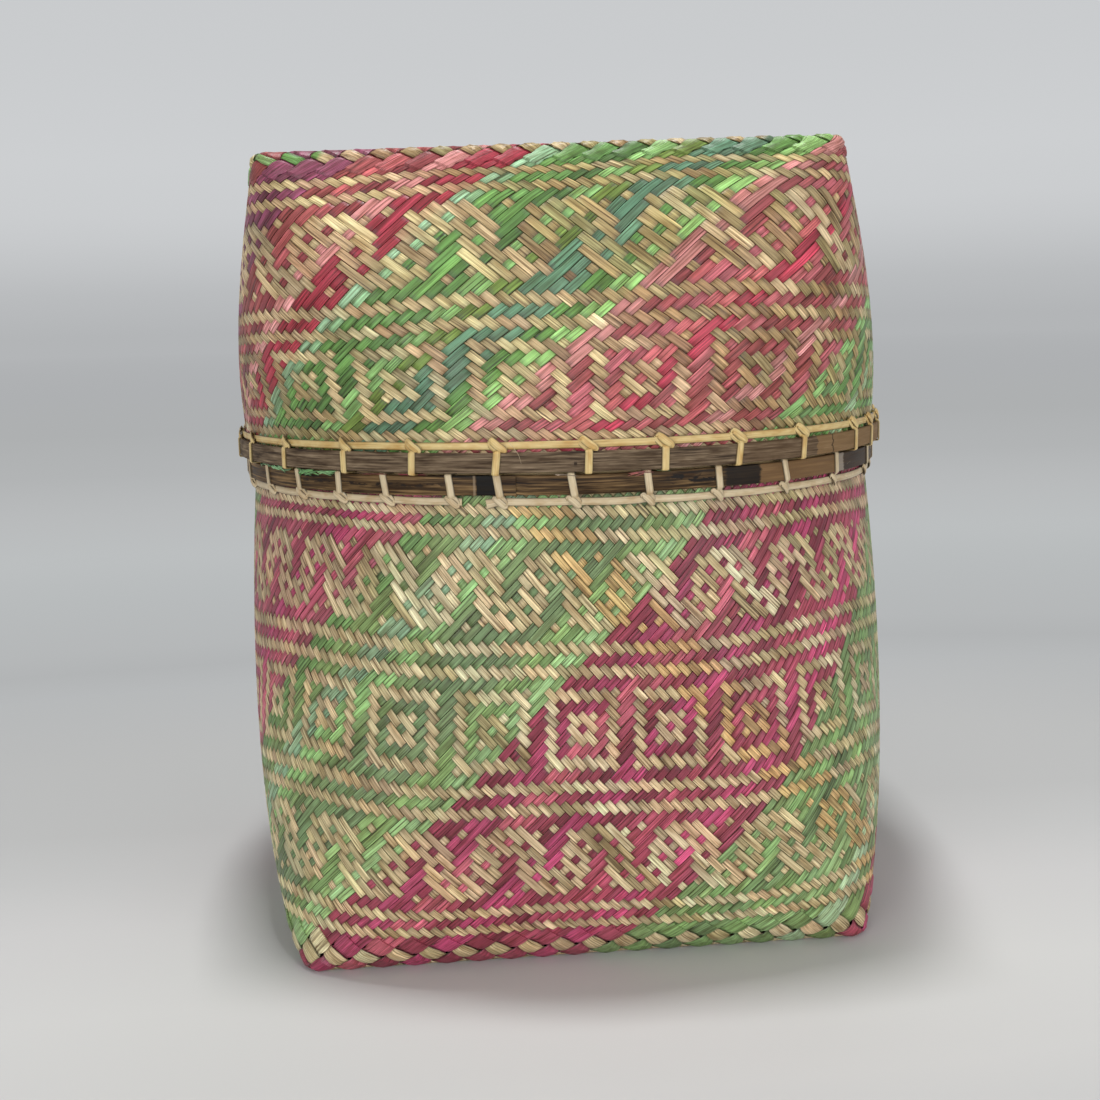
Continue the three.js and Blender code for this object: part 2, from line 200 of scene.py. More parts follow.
def sweep(name, sections, strips, uvs, colours=None, shades=None, place=None, smooth=38):
    # closed strips through sections of equally many points in mm; a new number in strips starts a new strip,
    # and shades scale the colour across it, as painted shade and light
    rows, count = sections.shape[:2]
    ring = np.arange(count)
    nextOne = (ring + 1) % count
    changes = strips[1:] != strips[:-1]
    a = np.nonzero(~changes)[0][:, None] * count
    quads = np.stack([a + ring, a + nextOne, a + count + nextOne, a + count + ring], -1).reshape(-1, 4)
    starts = np.nonzero(np.concatenate([[True], changes]))[0]
    ends = np.nonzero(np.concatenate([changes, [True]]))[0]
    caps = [(starts[:, None] * count + ring[::-1]).ravel(), (ends[:, None] * count + ring).ravel()]
    loops = np.concatenate([quads.ravel(), *caps])
    sizes = np.concatenate([np.full(len(quads), 4), np.full(len(starts) * 2, count)])
    mesh = bpy.data.meshes.new(name)
    mesh.vertices.add(rows * count)
    mesh.vertices.foreach_set("co", (sections * mm).astype(np.float32).ravel())
    mesh.loops.add(len(loops))
    mesh.loops.foreach_set("vertex_index", loops.astype(np.int32))
    mesh.polygons.add(len(sizes))
    mesh.polygons.foreach_set("loop_start", np.concatenate([[0], np.cumsum(sizes)[:-1]]).astype(np.int32))
    mesh.polygons.foreach_set("loop_total", sizes.astype(np.int32))
    layer = mesh.uv_layers.new(name="strip")
    layer.data.foreach_set("uv", uvs.reshape(-1, 2)[loops].astype(np.float32).ravel())
    if colours is not None:
        # the colour attribute holds each strip's dye and tone times its painted shade and light
        shade = mesh.color_attributes.new("dye_and_painted_shade", "FLOAT_COLOR", "POINT")
        rgba = np.ones((rows * count, 4), np.float32)
        rgba[:, :3] = np.repeat(colours, count, 0) * np.tile(shades, rows)[:, None]
        shade.data.foreach_set("color", rgba.ravel())
    mesh.update(calc_edges=True)
    mesh.validate()
    if place is not None:
        mesh.transform(place)
    piece = bpy.data.objects.new(name, mesh)
    bpy.context.collection.objects.link(piece)
    selectOnly(piece)
    bpy.ops.object.shade_smooth_by_angle(angle=math.radians(smooth))
    return piece


def finishPiece(piece, body, slot, material, *nodes):
    piece.data.materials.clear()
    piece.data.materials.append(material)
    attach(piece, body)
    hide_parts(*nodes)


def newMaterial(name):
    material = bpy.data.materials.new(name)
    material.use_nodes = True
    nodes = material.node_tree.nodes
    return material, nodes, material.node_tree.links, nodes["Principled BSDF"]


def addNode(nodes, kind, **values):
    node = nodes.new(kind)
    for key, value in values.items():
        if key in node.inputs:
            node.inputs[key].default_value = value
        else:
            setattr(node, key, value)
    return node


def addRamp(nodes, links, source, stops):
    node = nodes.new("ShaderNodeValToRGB")
    elements = node.color_ramp.elements
    elements[0].position, elements[0].color = stops[0][0], (*linear(stops[0][1]), 1)
    elements[1].position, elements[1].color = stops[-1][0], (*linear(stops[-1][1]), 1)
    for position, colour in stops[1:-1]:
        elements.new(position).color = (*linear(colour), 1)
    links.new(source, node.inputs["Fac"])
    return node.outputs["Color"]


def feed(links, socket, value):
    # a link from another node's output, or a fixed value
    if isinstance(value, bpy.types.NodeSocket):
        links.new(value, socket)
    else:
        socket.default_value = value


def mixColour(nodes, links, kind, amount, a, b):
    mix = addNode(nodes, "ShaderNodeMix", data_type="RGBA", blend_type=kind)
    for value, socket in ((amount, 0), (a, 6), (b, 7)):
        feed(links, mix.inputs[socket], value)
    return mix.outputs[2]


def addMath(nodes, links, operation, *values):
    node = addNode(nodes, "ShaderNodeMath", operation=operation)
    for socket, value in zip(node.inputs, values):
        feed(links, socket, value)
    return node.outputs[0]


def stripPlace(nodes, links, alongScale, acrossScale):
    # the strip's own lay: mm along it and mm across it
    uv = addNode(nodes, "ShaderNodeUVMap", uv_map="strip")
    mapping = addNode(nodes, "ShaderNodeMapping", Scale=(alongScale, acrossScale, 1))
    links.new(uv.outputs["UV"], mapping.inputs["Vector"])
    return mapping.outputs["Vector"]


def stripNoise(nodes, links, alongScale, acrossScale, detail=3.0, roughness=0.55):
    noise = addNode(nodes, "ShaderNodeTexNoise", Scale=1.0, Detail=detail, Roughness=roughness)
    links.new(stripPlace(nodes, links, alongScale, acrossScale), noise.inputs["Vector"])
    return noise.outputs["Fac"]


def rangeOf(nodes, links, value, low, high, toLow=0.0, toHigh=1.0):
    node = addNode(nodes, "ShaderNodeMapRange")
    for socket, number in (("From Min", low), ("From Max", high), ("To Min", toLow), ("To Max", toHigh)):
        node.inputs[socket].default_value = number
    links.new(value, node.inputs["Value"])
    return node.outputs["Result"]


def between(nodes, links, value, low, high, soft):
    # 1 from low to high and 0 outside, with soft edges
    rises = rangeOf(nodes, links, value, low - soft, low + soft)
    falls = rangeOf(nodes, links, value, high - soft, high + soft, 1.0, 0.0)
    return addMath(nodes, links, "MULTIPLY", rises, falls)


def addBump(nodes, links, shader, height, strength, distance):
    bump = addNode(nodes, "ShaderNodeBump", Strength=strength, Distance=distance)
    links.new(height, bump.inputs["Height"])
    links.new(bump.outputs["Normal"], shader.inputs["Normal"])


# split bamboo: fine fibres along the strip, pale and dark streaks, a dull shine
stripLook = {
    "fibreAlong": 0.03, "fibreAcross": 1.5, "fibreDark": (96, 70, 40), "fibreShare": 0.95,
    "streakAlong": 0.04, "streakAcross": 1.1, "streakPale": (1.7, 1.7, 1.78), "streakShare": 0.8,
    "patchAlong": 0.06, "patchAcross": 0.3, "patchDark": (176, 160, 138), "patchShare": 0.8,
    "roughness": (0.34, 0.56), "specular": 0.45, "bump": 0.5,
}


def dyedStripFinish(name, look):
    material, nodes, links, shader = newMaterial(name)
    # dye and tone of the strips times their painted shade and light
    dye_and_painted_shade = addNode(nodes, "ShaderNodeVertexColor", layer_name="dye_and_painted_shade").outputs["Color"]
    fibre = stripNoise(nodes, links, look["fibreAlong"], look["fibreAcross"], 4.0, 0.65)
    dark = addRamp(nodes, links, fibre, [(0.34, look["fibreDark"]), (0.47, (222, 215, 206)), (0.56, white)])
    colour = mixColour(nodes, links, "MULTIPLY", look["fibreShare"], dye_and_painted_shade, dark)
    streak = stripNoise(nodes, links, look["streakAlong"], look["streakAcross"], 2.0)
    share = rangeOf(nodes, links, streak, 0.52, 0.68, 0.0, look["streakShare"])
    colour = mixColour(nodes, links, "MULTIPLY", share, colour, (*look["streakPale"], 1))
    uneven = stripNoise(nodes, links, look["patchAlong"], look["patchAcross"], 2.0)
    patch = addRamp(nodes, links, uneven, [(0.32, look["patchDark"]), (0.5, (232, 230, 226)), (0.7, white)])
    colour = mixColour(nodes, links, "MULTIPLY", look["patchShare"], colour, patch)
    links.new(colour, shader.inputs["Base Color"])
    links.new(rangeOf(nodes, links, fibre, 0.3, 0.7, *look["roughness"]), shader.inputs["Roughness"])
    shader.inputs["Specular IOR Level"].default_value = look["specular"]
    addBump(nodes, links, shader, fibre, look["bump"], 0.0002)
    return material


baseStripFinish = dyedStripFinish("dyed strips of the base", stripLook)
lidStripFinish = dyedStripFinish("dyed strips of the lid", stripLook)
print("box: strip finishes ready")

# one repeat of the running scroll, top row first, # where an undyed strip is on top
scrollDraft = [
    "..###..#", "######..", "##.##...", ".##.#..#", "#####.##", "..##..##", ".#.#.#.#",
    ".##..##.", "#######.", "#.##.#..", "##.##...", "#####..#", "###..#..",
]
scroll = np.array([[mark == "#" for mark in row] for row in scrollDraft[::-1]])

# bands from the fold up, by their first and last level: stripes in pairs of rows, dyed and plain by turns,
# scrolls and nested squares, these with the place in strips where a repeat starts or has its middle
baseBands = [
    ("stripes", 7, 16), ("scroll", 17, 29, 6), ("stripes", 30, 39), ("squares", 40, 52, 1.5),
    ("stripes", 53, 62), ("scroll", 63, 75, 1), ("stripes", 76, 89),
]
lidBands = [
    ("stripes", 4, 13), ("scroll", 14, 26, 0), ("stripes", 27, 36), ("squares", 37, 49, 6),
    ("stripes", 50, 59),
]


def plainOnTop(bands, level, plainStrip):
    # plainStrip is the undyed strip's number; below the bands the dyed ones are on top
    for kind, low, high, *place in bands:
        if low <= level <= high:
            row = level - low
            if kind == "stripes":
                return row // 2 % 2 == 1
            if kind == "scroll":
                return bool(scroll[row, (plainStrip - place[0]) % 8])
            off = (plainStrip + (1 - level) / 2 - place[0] + 4) % 8 - 4
            ring = max(abs(round(2 * off)), abs(row - (high - low) // 2))
            return ring % 4 in (1, 2)
    return False


# how the strips of both weaves are made; widths as shares of a strip's place, lengths in mm
stripMake = {
    "middle": -0.72,         # mid line of the woven skin below its face
    "lift": 0.27,            # how far a strip stands off that line where it is on top
    "thickness": 0.3, "stripShare": 0.97, "curl": 0.55,
    "edge": 0.045, "broadEdge": 0.03,                       # width of the worn edges
    "turnOver": 0.07,        # share of a crossing in which a strip goes over or under
    # painted shade and light in the strips' colour: runs under a crossing strip, the lower edges and a
    # float's ends are painted darker, a float's middle lighter
    "underPaintedShade": 0.5, "edgePaintedShade": 0.4, "endPaintedShade": 0.78, "topPaintedLight": 1.06,
    "finePitch": 3.1, "broadPitch": 12.5,                   # mm of grain for a strip's width
}

# how uneven the work of a hand is: widths, tones, heights, fading along a strip and drift of the rows
handWork = {
    "fineWidth": (0.965, 1.03), "broadWidth": (0.97, 1.02), "dyeTone": 0.07, "dyeTint": 0.03,
    "stripTone": 0.11, "stripTint": 0.02, "stand": 0.02, "fade": 0.16, "fadeStep": (0.05, 0.22),
    "drift": 0.3, "rise": 0.22, "waves": 7, "climb": (0.02, 0.12), "phase": (0, 6.3),
}

# dyes of the broad strips by their numbers round the basket; the undyed ones go from pale straw to tan
baseWeave = {
    **stripMake, "body": "base", "slot": "base_weave", "node": "base_basket", "seed": 11,
    "broadLift": 0.42,
    "splitLevel": 6,                     # level from which the broad strips are split
    "broadShare": (1.1, 0.84),           # width of the broad strips on the fold, dyed and undyed
    "leafBias": 0.06,                    # how much longer the dyed ones lie on top there
    "leafFrom": 9, "leafTo": 9,          # from and to where up the wall they stay on top; 9 is never
    "edgeDyed": True,                    # whether the dyed ones are on top right on the fold
    "dyeReach": 0.0,                     # how far past a corner the sides' dye goes on the fold
    "dyeBleed": 0.1,                     # share of the crossing strip's dye that an undyed one takes on
    "dyes": {
        "rose": [(192, 94, 114), (182, 84, 106), (198, 104, 122)],
        "hot pink": [(206, 86, 130), (198, 78, 122)],
        "maroon": [(174, 76, 96), (164, 70, 90)],
        "leaf": [(143, 177, 111), (133, 167, 103), (153, 187, 123)],
        "bright": [(162, 208, 138), (168, 212, 150)],
        "mint": [(176, 210, 164), (168, 204, 158)],
        "sage": [(130, 160, 110), (124, 154, 106)],
    },
    # dye of the broad strips from a first number on
    "dyed": [(-19, ["rose", "rose", "maroon", "rose", "rose", "maroon", "hot pink", "rose", "rose"]),
             (-10, ["leaf", "leaf", "mint", "bright", "leaf", "sage", "sage", "leaf", "bright"]),
             (-1, ["maroon", "hot pink", "rose", "maroon", "hot pink", "maroon", "rose", "rose", "hot pink",
                   "rose"]),
             (9, ["leaf", "leaf", "sage", "leaf", "bright", "leaf", "mint", "leaf"]),
             (17, ["rose", "hot pink", "rose", "maroon", "rose", "hot pink", "rose", "maroon", "rose"]),
             (26, ["leaf", "bright", "leaf", "sage", "mint", "leaf", "leaf", "sage", "bright"]),
             (35, ["rose", "maroon", "hot pink", "rose", "rose", "hot pink", "maroon", "rose", "rose"]),
             (44, ["leaf", "leaf", "mint", "sage", "leaf", "bright", "leaf", "sage", "leaf"])],
    "undyed": {
        "straw": [(228, 211, 170), (234, 220, 182), (220, 202, 160)],
        "tan": [(222, 197, 156), (214, 189, 149)],
        "olive": [(208, 194, 148), (198, 185, 138)],
        "orange": [(230, 194, 136), (224, 188, 130)],
    },
    "plain": [(0, ["straw"] * 4 + ["tan"] * 5 + ["straw", "olive", "straw"] * 2 + ["straw"]),
              (16, ["tan", "tan", "straw", "tan", "orange", "orange", "straw", "olive", "olive"]),
              (25, ["straw", "straw", "straw", "olive", "olive"]),
              (30, ["straw", "tan", "straw", "olive", "straw", "tan", "straw"] * 6)],
}
lidWeave = {
    **stripMake, "body": "lid", "slot": "lid_weave", "node": "lid_basket", "seed": 23,
    "broadLift": 0.45, "splitLevel": 4,
    "broadShare": (1.2, 0.84), "leafBias": 0.12, "leafFrom": 1.1, "leafTo": 2.1, "edgeDyed": False,
    "dyeReach": 0.24, "dyeBleed": 0.12,
    "dyes": {
        "rose": [(202, 104, 110), (210, 116, 122), (194, 96, 104)],
        "pale rose": [(224, 150, 152), (216, 138, 142)],
        "crimson": [(202, 72, 92), (192, 66, 84)],
        "dusky": [(180, 90, 92), (172, 84, 86)],
        "plum": [(160, 84, 116), (150, 76, 106)],
        "leaf": [(116, 168, 86), (126, 178, 98)],
        "bright": [(150, 202, 118), (158, 208, 130)],
        "mint": [(172, 212, 166), (162, 202, 156)],
        "teal": [(110, 158, 126), (100, 148, 118)],
        "moss": [(98, 142, 74), (132, 160, 76)],
    },
    "dyed": [(49, ["rose", "dusky", "pale rose", "rose", "dusky", "rose", "crimson", "rose"]),
             (57, ["rose", "dusky", "pale rose"]),
             (60, ["bright", "leaf", "teal", "teal", "moss", "bright", "moss", "leaf", "leaf", "mint"]),
             (70, ["crimson", "crimson", "pale rose", "dusky", "rose", "dusky"] + ["plum"] * 3),
             (79, ["dusky", "bright"]),
             (1, ["leaf", "leaf", "leaf", "moss", "mint", "leaf", "teal", "leaf", "bright", "leaf"]),
             (11, ["rose", "crimson", "rose", "pale rose", "rose", "dusky", "rose", "rose"]),
             (19, ["crimson", "rose"]),
             (21, ["leaf", "mint", "leaf", "teal", "bright", "leaf", "moss", "leaf", "mint"]),
             (30, ["rose", "dusky", "rose", "pale rose", "crimson", "rose", "dusky", "rose", "rose"]),
             (39, ["mint", "bright", "bright", "leaf", "bright", "mint", "leaf", "leaf"] + ["bright"] * 2)],
    "undyed": {
        "straw": [(220, 200, 150), (228, 210, 164), (210, 189, 140)],
        "tan": [(186, 158, 114), (178, 150, 107)],
        "olive": [(194, 178, 124), (186, 170, 118)],
        "orange": [(220, 193, 151), (212, 184, 142)],
    },
    "plain": [(60, ["olive", "straw"] * 3),
              (66, ["olive", "tan", "olive", "straw", "olive", "tan", "tan", "olive"]),
              (74, ["tan", "tan", "orange", "orange", "straw", "orange"]),
              (0, ["straw"] * 3 + ["orange"] + ["straw"] * 4 + ["orange", "straw"]),
              (10, ["straw", "tan", "olive", "straw", "tan"] * 10)],
}


def paintStrips(basket, look, rng):
    # a colour for every broad strip, one list for where it is dyed and one for where it isn't
    count = 4 * basket["wide"]

    def shadesFrom(choices, runs):
        colours = np.ones((count, 3)) * 0.5
        for first, names in runs:
            for k, name in enumerate(names):
                colour = linear(choices[name][rng.randint(len(choices[name]))])
                tone = 1 + rng.normal(0, handWork["dyeTint"], 3) + rng.normal(0, handWork["dyeTone"])
                colours[(first + k) % count] = colour * tone
        return np.clip(colours, 0.01, 0.95)

    return shadesFrom(look["dyes"], look["dyed"]), shadesFrom(look["undyed"], look["plain"])


def grainLay(run, across, pitch, numbers, alongSteps, acrossSteps):
    # uv in mm along and across a strip; every strip has a place of its own in the grain
    lay = run * pitch + (numbers * alongSteps[0] % alongSteps[1])[:, None] + 0 * across
    return np.stack([lay, across * pitch + (numbers * acrossSteps[0] % acrossSteps[1])[:, None]], -1)


def fineStrips(basket, bands, look, bend, dyed, plain, rng, isDyed):
    # stations of the fine strips of one direction: each goes up to the rim, over and under as the bands say;
    # where two cross, p is the dyed one's number, q the undyed one's and q - p the level
    split = basket["split"]
    count = 4 * basket["wide"] * split
    lastLevel = int(basket["lastLevel"])
    numbers, cells, shares, heights, halves, tints = [], [], [], [], [], []
    for k in range(count):
        broad = k // split
        tone = 1 + rng.normal(0, handWork["stripTint"], 3) + rng.normal(0, handWork["stripTone"])
        colour = (dyed if isDyed else plain)[broad] * tone
        half = look["stripShare"] * rng.uniform(*handWork["fineWidth"]) / 2
        stand = rng.normal(0, handWork["stand"])
        fadeStep, fadeStart = rng.uniform(*handWork["fadeStep"]), rng.uniform(0, fullTurn)
        # a broad strip's fine ones all begin under the same crossing strip
        if isDyed:
            firstCell = k - k % split + 2 * split + 1
            run = [(q, not plainOnTop(bands, q - k, q)) for q in range(firstCell, k + lastLevel + 1)]
        else:
            firstCell = k - k % split - split - 2
            run = [(p, k - p >= look["splitLevel"] and plainOnTop(bands, k - p, k))
                   for p in range(firstCell, k - lastLevel - 1, -1)]
        for n, (cell, over) in enumerate(run):
            begins = n == 0 or run[n - 1][1] != over
            stops = n == len(run) - 1 or run[n + 1][1] != over
            # a strip on top swells from its ends: share of the cell, height and painted shade, its ends
            # painted darker and its middle painted lighter
            where = []
            if begins:
                where.append((0.0 if n == 0 else look["turnOver"], 0.5, look["endPaintedShade"]))
            if over and (begins or stops or n % 3 == 2):
                where.append((0.5 + 0.1 * (begins - stops), 1, look["topPaintedLight"]))
            if stops:
                where.append((1.0 if n == len(run) - 1 else 1 - look["turnOver"], 0.5, look["endPaintedShade"]))
            crossing = dyed[(cell // split) % (4 * basket["wide"])]
            for share, swell, shade in where:
                numbers.append(k)
                cells.append(cell)
                shares.append(share)
                heights.append((look["lift"] * swell if over else -look["lift"]) + stand)
                halves.append(half)
                tint = colour if isDyed else colour * (1 - look["dyeBleed"]) + crossing * look["dyeBleed"]
                fade = 1 + handWork["fade"] * math.sin(fadeStart + fadeStep * n)
                # painted shade: a run under a crossing strip is darkened
                tints.append(tint * fade * (shade if over else look["underPaintedShade"]))
    numbers, cells, shares, heights, halves = (
        np.array(values, float) for values in (numbers, cells, shares, heights, halves))
    edge = look["edge"]
    across = np.stack([-halves, -halves + edge, halves - edge, halves], -1)
    profile = np.array([-0.5, 0.5, 0.5, -0.5]) * look["thickness"]
    lane = numbers[:, None] + 0.5 + across
    if isDyed:
        p, q = lane, (cells + shares)[:, None] + 0 * across
        run = q
    else:
        q, p = lane, (cells + 1 - shares)[:, None] + 0 * across
        run = -p
    turn = basket["corner"] + (p + q) / 2 / count
    turn, length = bend(turn, lengthAt(basket, q - p))
    points = skin(basket, turn, length, look["middle"] + heights[:, None] + profile)
    uv = grainLay(run, across, look["finePitch"], numbers, (37.7, 901), (11.3, 613))
    # painted shade: the lower edge points of a strip are darkened, as in the slits between strips
    dark = look["edgePaintedShade"]
    return points, numbers, uv, np.clip(np.array(tints), 0.005, 0.95), np.array([dark, 1, 1, dark])


def netTurn(basket, x, y):
    # the bottom laid out flat, x and y in broad widths from its front left corner: share of a turn and length
    half = basket["wide"] / 2
    cx, cy = x / half - 1, y / half - 1
    out = np.maximum(np.maximum(np.abs(cx), np.abs(cy)), 1e-9)
    turn = np.where(cy <= -np.abs(cx), (3 + cx / out / 2) / 4,
           np.where(cx >= np.abs(cy), (cy / out / 2) / 4,
           np.where(cy >= np.abs(cx), (1 - cx / out / 2) / 4, (2 - cy / out / 2) / 4)))
    flatHalf = basket["side"] / 2 - basket["foldRadius"]
    start = basket["lengths"][0]
    return turn, start - (1 - out) * (start + flatHalf)


def broadStrips(basket, look, bend, dyed, plain, rng, rising):
    # broad strips cross the bottom on the slant, plain over and under, and run a little way up two walls;
    # for the rising ones x + y stays the same, for the falling ones x - y
    wide = basket["wide"]
    count = 4 * wide
    reach = look["splitLevel"] / (2 * basket["split"]) + 1.4
    fixed, runs, ids, halves, beyond = [], [], [], [], []
    for k in range(2 * wide):
        middle = k + 0.5 if rising else k - wide + 0.5
        half = look["stripShare"] * rng.uniform(*handWork["broadWidth"]) / 2
        low = -min(middle, 2 * wide - middle) if rising else abs(middle)
        high = -low if rising else 2 * wide - abs(middle)
        where = [low - reach]
        for cell in range(math.floor(low - 3), math.ceil(high + 3)):
            nearFold = cell < low + 1 or cell > high - 2
            for share in (0.0, 0.1, 0.25, 0.5, 0.75, 0.9) if nearFold else (0.12, 0.5, 0.88):
                if low - reach < cell + share < high + reach:
                    where.append(cell + share)
        where.append(high + reach)
        for r in where:
            fixed.append(middle)
            runs.append(r)
            ids.append(k)
            halves.append(half)
            beyond.append(max(low - r, r - high))
    fixed, runs, ids, halves, beyond = (
        np.array(values, float) for values in (fixed, runs, ids, halves, beyond))
    x, y = ((fixed + runs) / 2, (fixed - runs) / 2) if rising else ((runs + fixed) / 2, (runs - fixed) / 2)
    cx, cy = 2 * x / wide - 1, 2 * y / wide - 1
    frontBack = np.abs(cy) > np.abs(cx)
    leads = frontBack if rising else ~frontBack
    isDyed = leads if rising else np.clip(np.abs(cy), 0, 1) < np.clip(np.abs(cx), 0, 1) + look["dyeReach"]
    onWall = np.clip((beyond + 0.9) / 0.6, 0, 1)
    # leaf shaped on the fold: widest in the middle of a crossing
    middleOf = np.sin(math.pi * (runs - np.floor(runs)))
    halves = halves * (1 + (np.where(leads, *look["broadShare"]) - 1) * onWall)
    halves = halves * (1 - 0.2 * onWall * (1 - middleOf))
    inner = halves - look["broadEdge"]
    across = np.stack([-halves, -inner, -inner / 2.4, inner / 2.4, inner, halves], -1)
    s, d = fixed[:, None] + across, runs[:, None] + 0 * across
    x, y = ((s + d) / 2, (s - d) / 2) if rising else ((d + s) / 2, (d - s) / 2)
    lowHalf = ((fixed < wide) if rising else (fixed > 0))[:, None]
    turn, length = netTurn(basket, x, y)
    size = float(wide)
    leftOwn = lowHalf if rising else ~lowHalf
    walls = ((lowHalf & (y < 0), x, -y), (~leftOwn & (x > size), size + y, x - size),
             (~lowHalf & (y > size), 3 * size - x, y - size), (leftOwn & (x < 0), 4 * size - y, -x))
    for mask, u, v in walls:
        turn = np.where(mask, frontLeft + u / (4 * size), turn)
        length = np.where(mask, lengthAt(basket, v * 2 * basket["split"]), length)
    turn, length = bend(turn, length)
    # over where the numbers of the two strips differ by an even count, sharply under at the edges
    even = (np.floor(fixed) - np.floor(runs)) % 2 == 0
    over = np.where((even == rising) == look["edgeDyed"], 1.0, -1.0)
    swell = over * np.sin(math.pi * (runs - np.floor(runs)))
    swell = np.where((beyond > look["leafFrom"]) & leads, 1, swell)
    swell = np.where((beyond > look["leafTo"]) | (beyond > look["leafFrom"]) & ~leads, -1, swell)
    height = np.clip((swell + np.where(leads, 1, -1) * look["leafBias"] * onWall) * 2.6, -1, 1)
    crown = 1 - (across / halves[:, None]) ** 2
    curl = look["curl"] * crown * (np.clip(height, 0, 1) * onWall)[:, None]
    amount = look["lift"] + (look["broadLift"] - look["lift"]) * onWall
    profile = np.array([-0.5, 0.45, 0.5, 0.5, 0.45, -0.5]) * look["thickness"]
    points = skin(basket, turn, length, look["middle"] + (height * amount)[:, None] + profile + curl)
    # the same numbers as the fine strips that each one splits into
    if rising:
        own = ids.astype(int)
        other = count - 1 - own
        number = np.where(isDyed, np.where(cy < 0, own, other), np.where(cx < 0, other, own))
    else:
        own = ids.astype(int) - wide
        other = 2 * wide - 1 - own
        number = np.where(isDyed, np.where(cx > 0, other, own), np.where(cy < 0, own, other))
    number = number + round((frontLeft - basket["corner"]) * count)
    tint = np.where(isDyed[:, None], dyed[number % count], plain[number % count])
    # painted shade: a broad strip is darkened where it goes under
    tint = tint * (look["underPaintedShade"] + (1 - look["underPaintedShade"]) * np.clip(height * 1.5 + 0.5, 0, 1))[:, None]
    uv = grainLay(runs[:, None], across, look["broadPitch"], ids, (53.1, 977), (17.9, 709))
    if not rising:
        points, uv = points[:, ::-1], uv[:, ::-1]
    # painted shade: the edges of a broad strip are darkened, and its shoulders a little
    dark = look["edgePaintedShade"]
    return points, ids, uv, tint, np.array([dark, 0.85, 1, 1, 0.85, dark])


def weaveBasket(basket, bands, look, place, finish):
    rng = np.random.RandomState(look["seed"])
    climb, phase = handWork["climb"], handWork["phase"]
    waves = [(rng.randint(1, 9), rng.uniform(*climb), rng.uniform(*phase), rng.uniform(*phase))
             for wave in range(handWork["waves"])]

    def bend(turn, length):
        # the rows sag and lean, and they waver between the fold and the rim, as no hand plaiting is even
        length = sagRows(basket, turn, length)
        drift = sum(handWork["drift"] * np.sin(k * fullTurn * turn + climb * length / 9 + aside)
                    for k, climb, aside, above in waves)
        rise = sum(handWork["rise"] * np.sin((k + 2) * fullTurn * turn + climb * length / 7 + above)
                   for k, climb, aside, above in waves)
        fade = np.clip(length / 20, 0, 1) * np.clip((basket["lengths"][-1] - length) / 20, 0, 1)
        return turn + drift * fade / (4 * basket["side"]), length + rise * fade

    dyed, plain = paintStrips(basket, look, rng)
    parts = [
        ("broad_strips_rising", broadStrips(basket, look, bend, dyed, plain, rng, True)),
        ("broad_strips_falling", broadStrips(basket, look, bend, dyed, plain, rng, False)),
        ("dyed_strips", fineStrips(basket, bands, look, bend, dyed, plain, rng, True)),
        ("plain_strips", fineStrips(basket, bands, look, bend, dyed, plain, rng, False)),
    ]
    for name, (points, numbers, uv, tints, shades) in parts:
        half = numbers < numbers.max() / 2
        for side, some in (("a", half), ("b", ~half)):
            label = f"{look['body']}_{name}_{side}"
            piece = sweep(label, points[some], numbers[some], uv[some], tints[some], shades, place)
            finishPiece(piece, look["body"], look["slot"], finish, look["node"])


weaveBasket(baseBasket, baseBands, baseWeave, None, baseStripFinish)
print("box: base plaited")
weaveBasket(lidBasket, lidBands, lidWeave, lidPlace(), lidStripFinish)
print("box: lid plaited")

# hoops: a profile with rounded corners is spun round the mouth; lengths in mm, angles in degrees right of
# the front
hoopHeight, hoopThickness, fitGap = 7.4, 2.1, 0.3
lapLength, lapStep, lapTip = 34, 1.2, 0.6    # of the lap, of the step beside it, and the thickness of a tip
hoopSteps, ringSteps = 236, 180              # of the spins
baseLow = baseBasket["height"] - hoopHeight
lidLow = lidBasket["height"] - hoopHeight
lidMouth = lidTop - lidLow - hoopHeight      # height of the lid's rim once the lid is turned over
baseHoop = {"inner": baseBasket["mouthRadius"] + fitGap, "low": baseLow, "lapFrom": -26, "rounding": 0.5}
lidHoop = {"inner": lidBasket["mouthRadius"] + fitGap, "low": lidLow, "lapFrom": 150, "rounding": 0.5}
for hoop in (baseHoop, lidHoop):
    hoop["outer"] = hoop["inner"] + hoopThickness
baseInnerHoop = {"inner": 134.3, "outer": 135.8, "low": baseLow, "rounding": 0.45}
lidInnerHoop = {"inner": 138.7, "outer": 140.2, "low": lidLow, "rounding": 0.45}
collarBand = {"inner": 136.1, "outer": 137.3, "low": baseLow, "high": 224.5, "rounding": 0.35}


def spinBand(name, band, steps, total):
    # the band is left open; the profile's points are returned too, which stand ring after ring in its mesh
    high = band.get("high", band["low"] + hoopHeight)
    bpy.ops.object.select_all(action="DESELECT")
    bpy.ops.mesh.primitive_plane_add(
        size=1, rotation=(quarterTurn, 0, 0),
        location=((band["inner"] + band["outer"]) / 2 * mm, 0, (band["low"] + high) / 2 * mm))
    piece = bpy.context.object
    piece.name = piece.data.name = name
    piece.scale = ((band["outer"] - band["inner"]) * mm, (high - band["low"]) * mm, 1)
    bpy.ops.object.transform_apply(location=True, rotation=True, scale=True)
    bpy.ops.object.mode_set(mode="EDIT")
    bpy.ops.mesh.select_all(action="SELECT")
    bpy.ops.mesh.bevel(offset=band["rounding"] * mm, segments=3, affect="VERTICES")
    bpy.ops.mesh.delete(type="ONLY_FACE")
    bpy.ops.mesh.select_all(action="SELECT")
    bpy.ops.object.mode_set(mode="OBJECT")
    profile = np.array([vertex.co[:] for vertex in piece.data.vertices])
    bpy.ops.object.mode_set(mode="EDIT")
    bpy.ops.mesh.spin(steps=steps, angle=total, center=(0, 0, 0), axis=(0, 0, 1))
    bpy.ops.object.mode_set(mode="OBJECT")
    return piece, profile


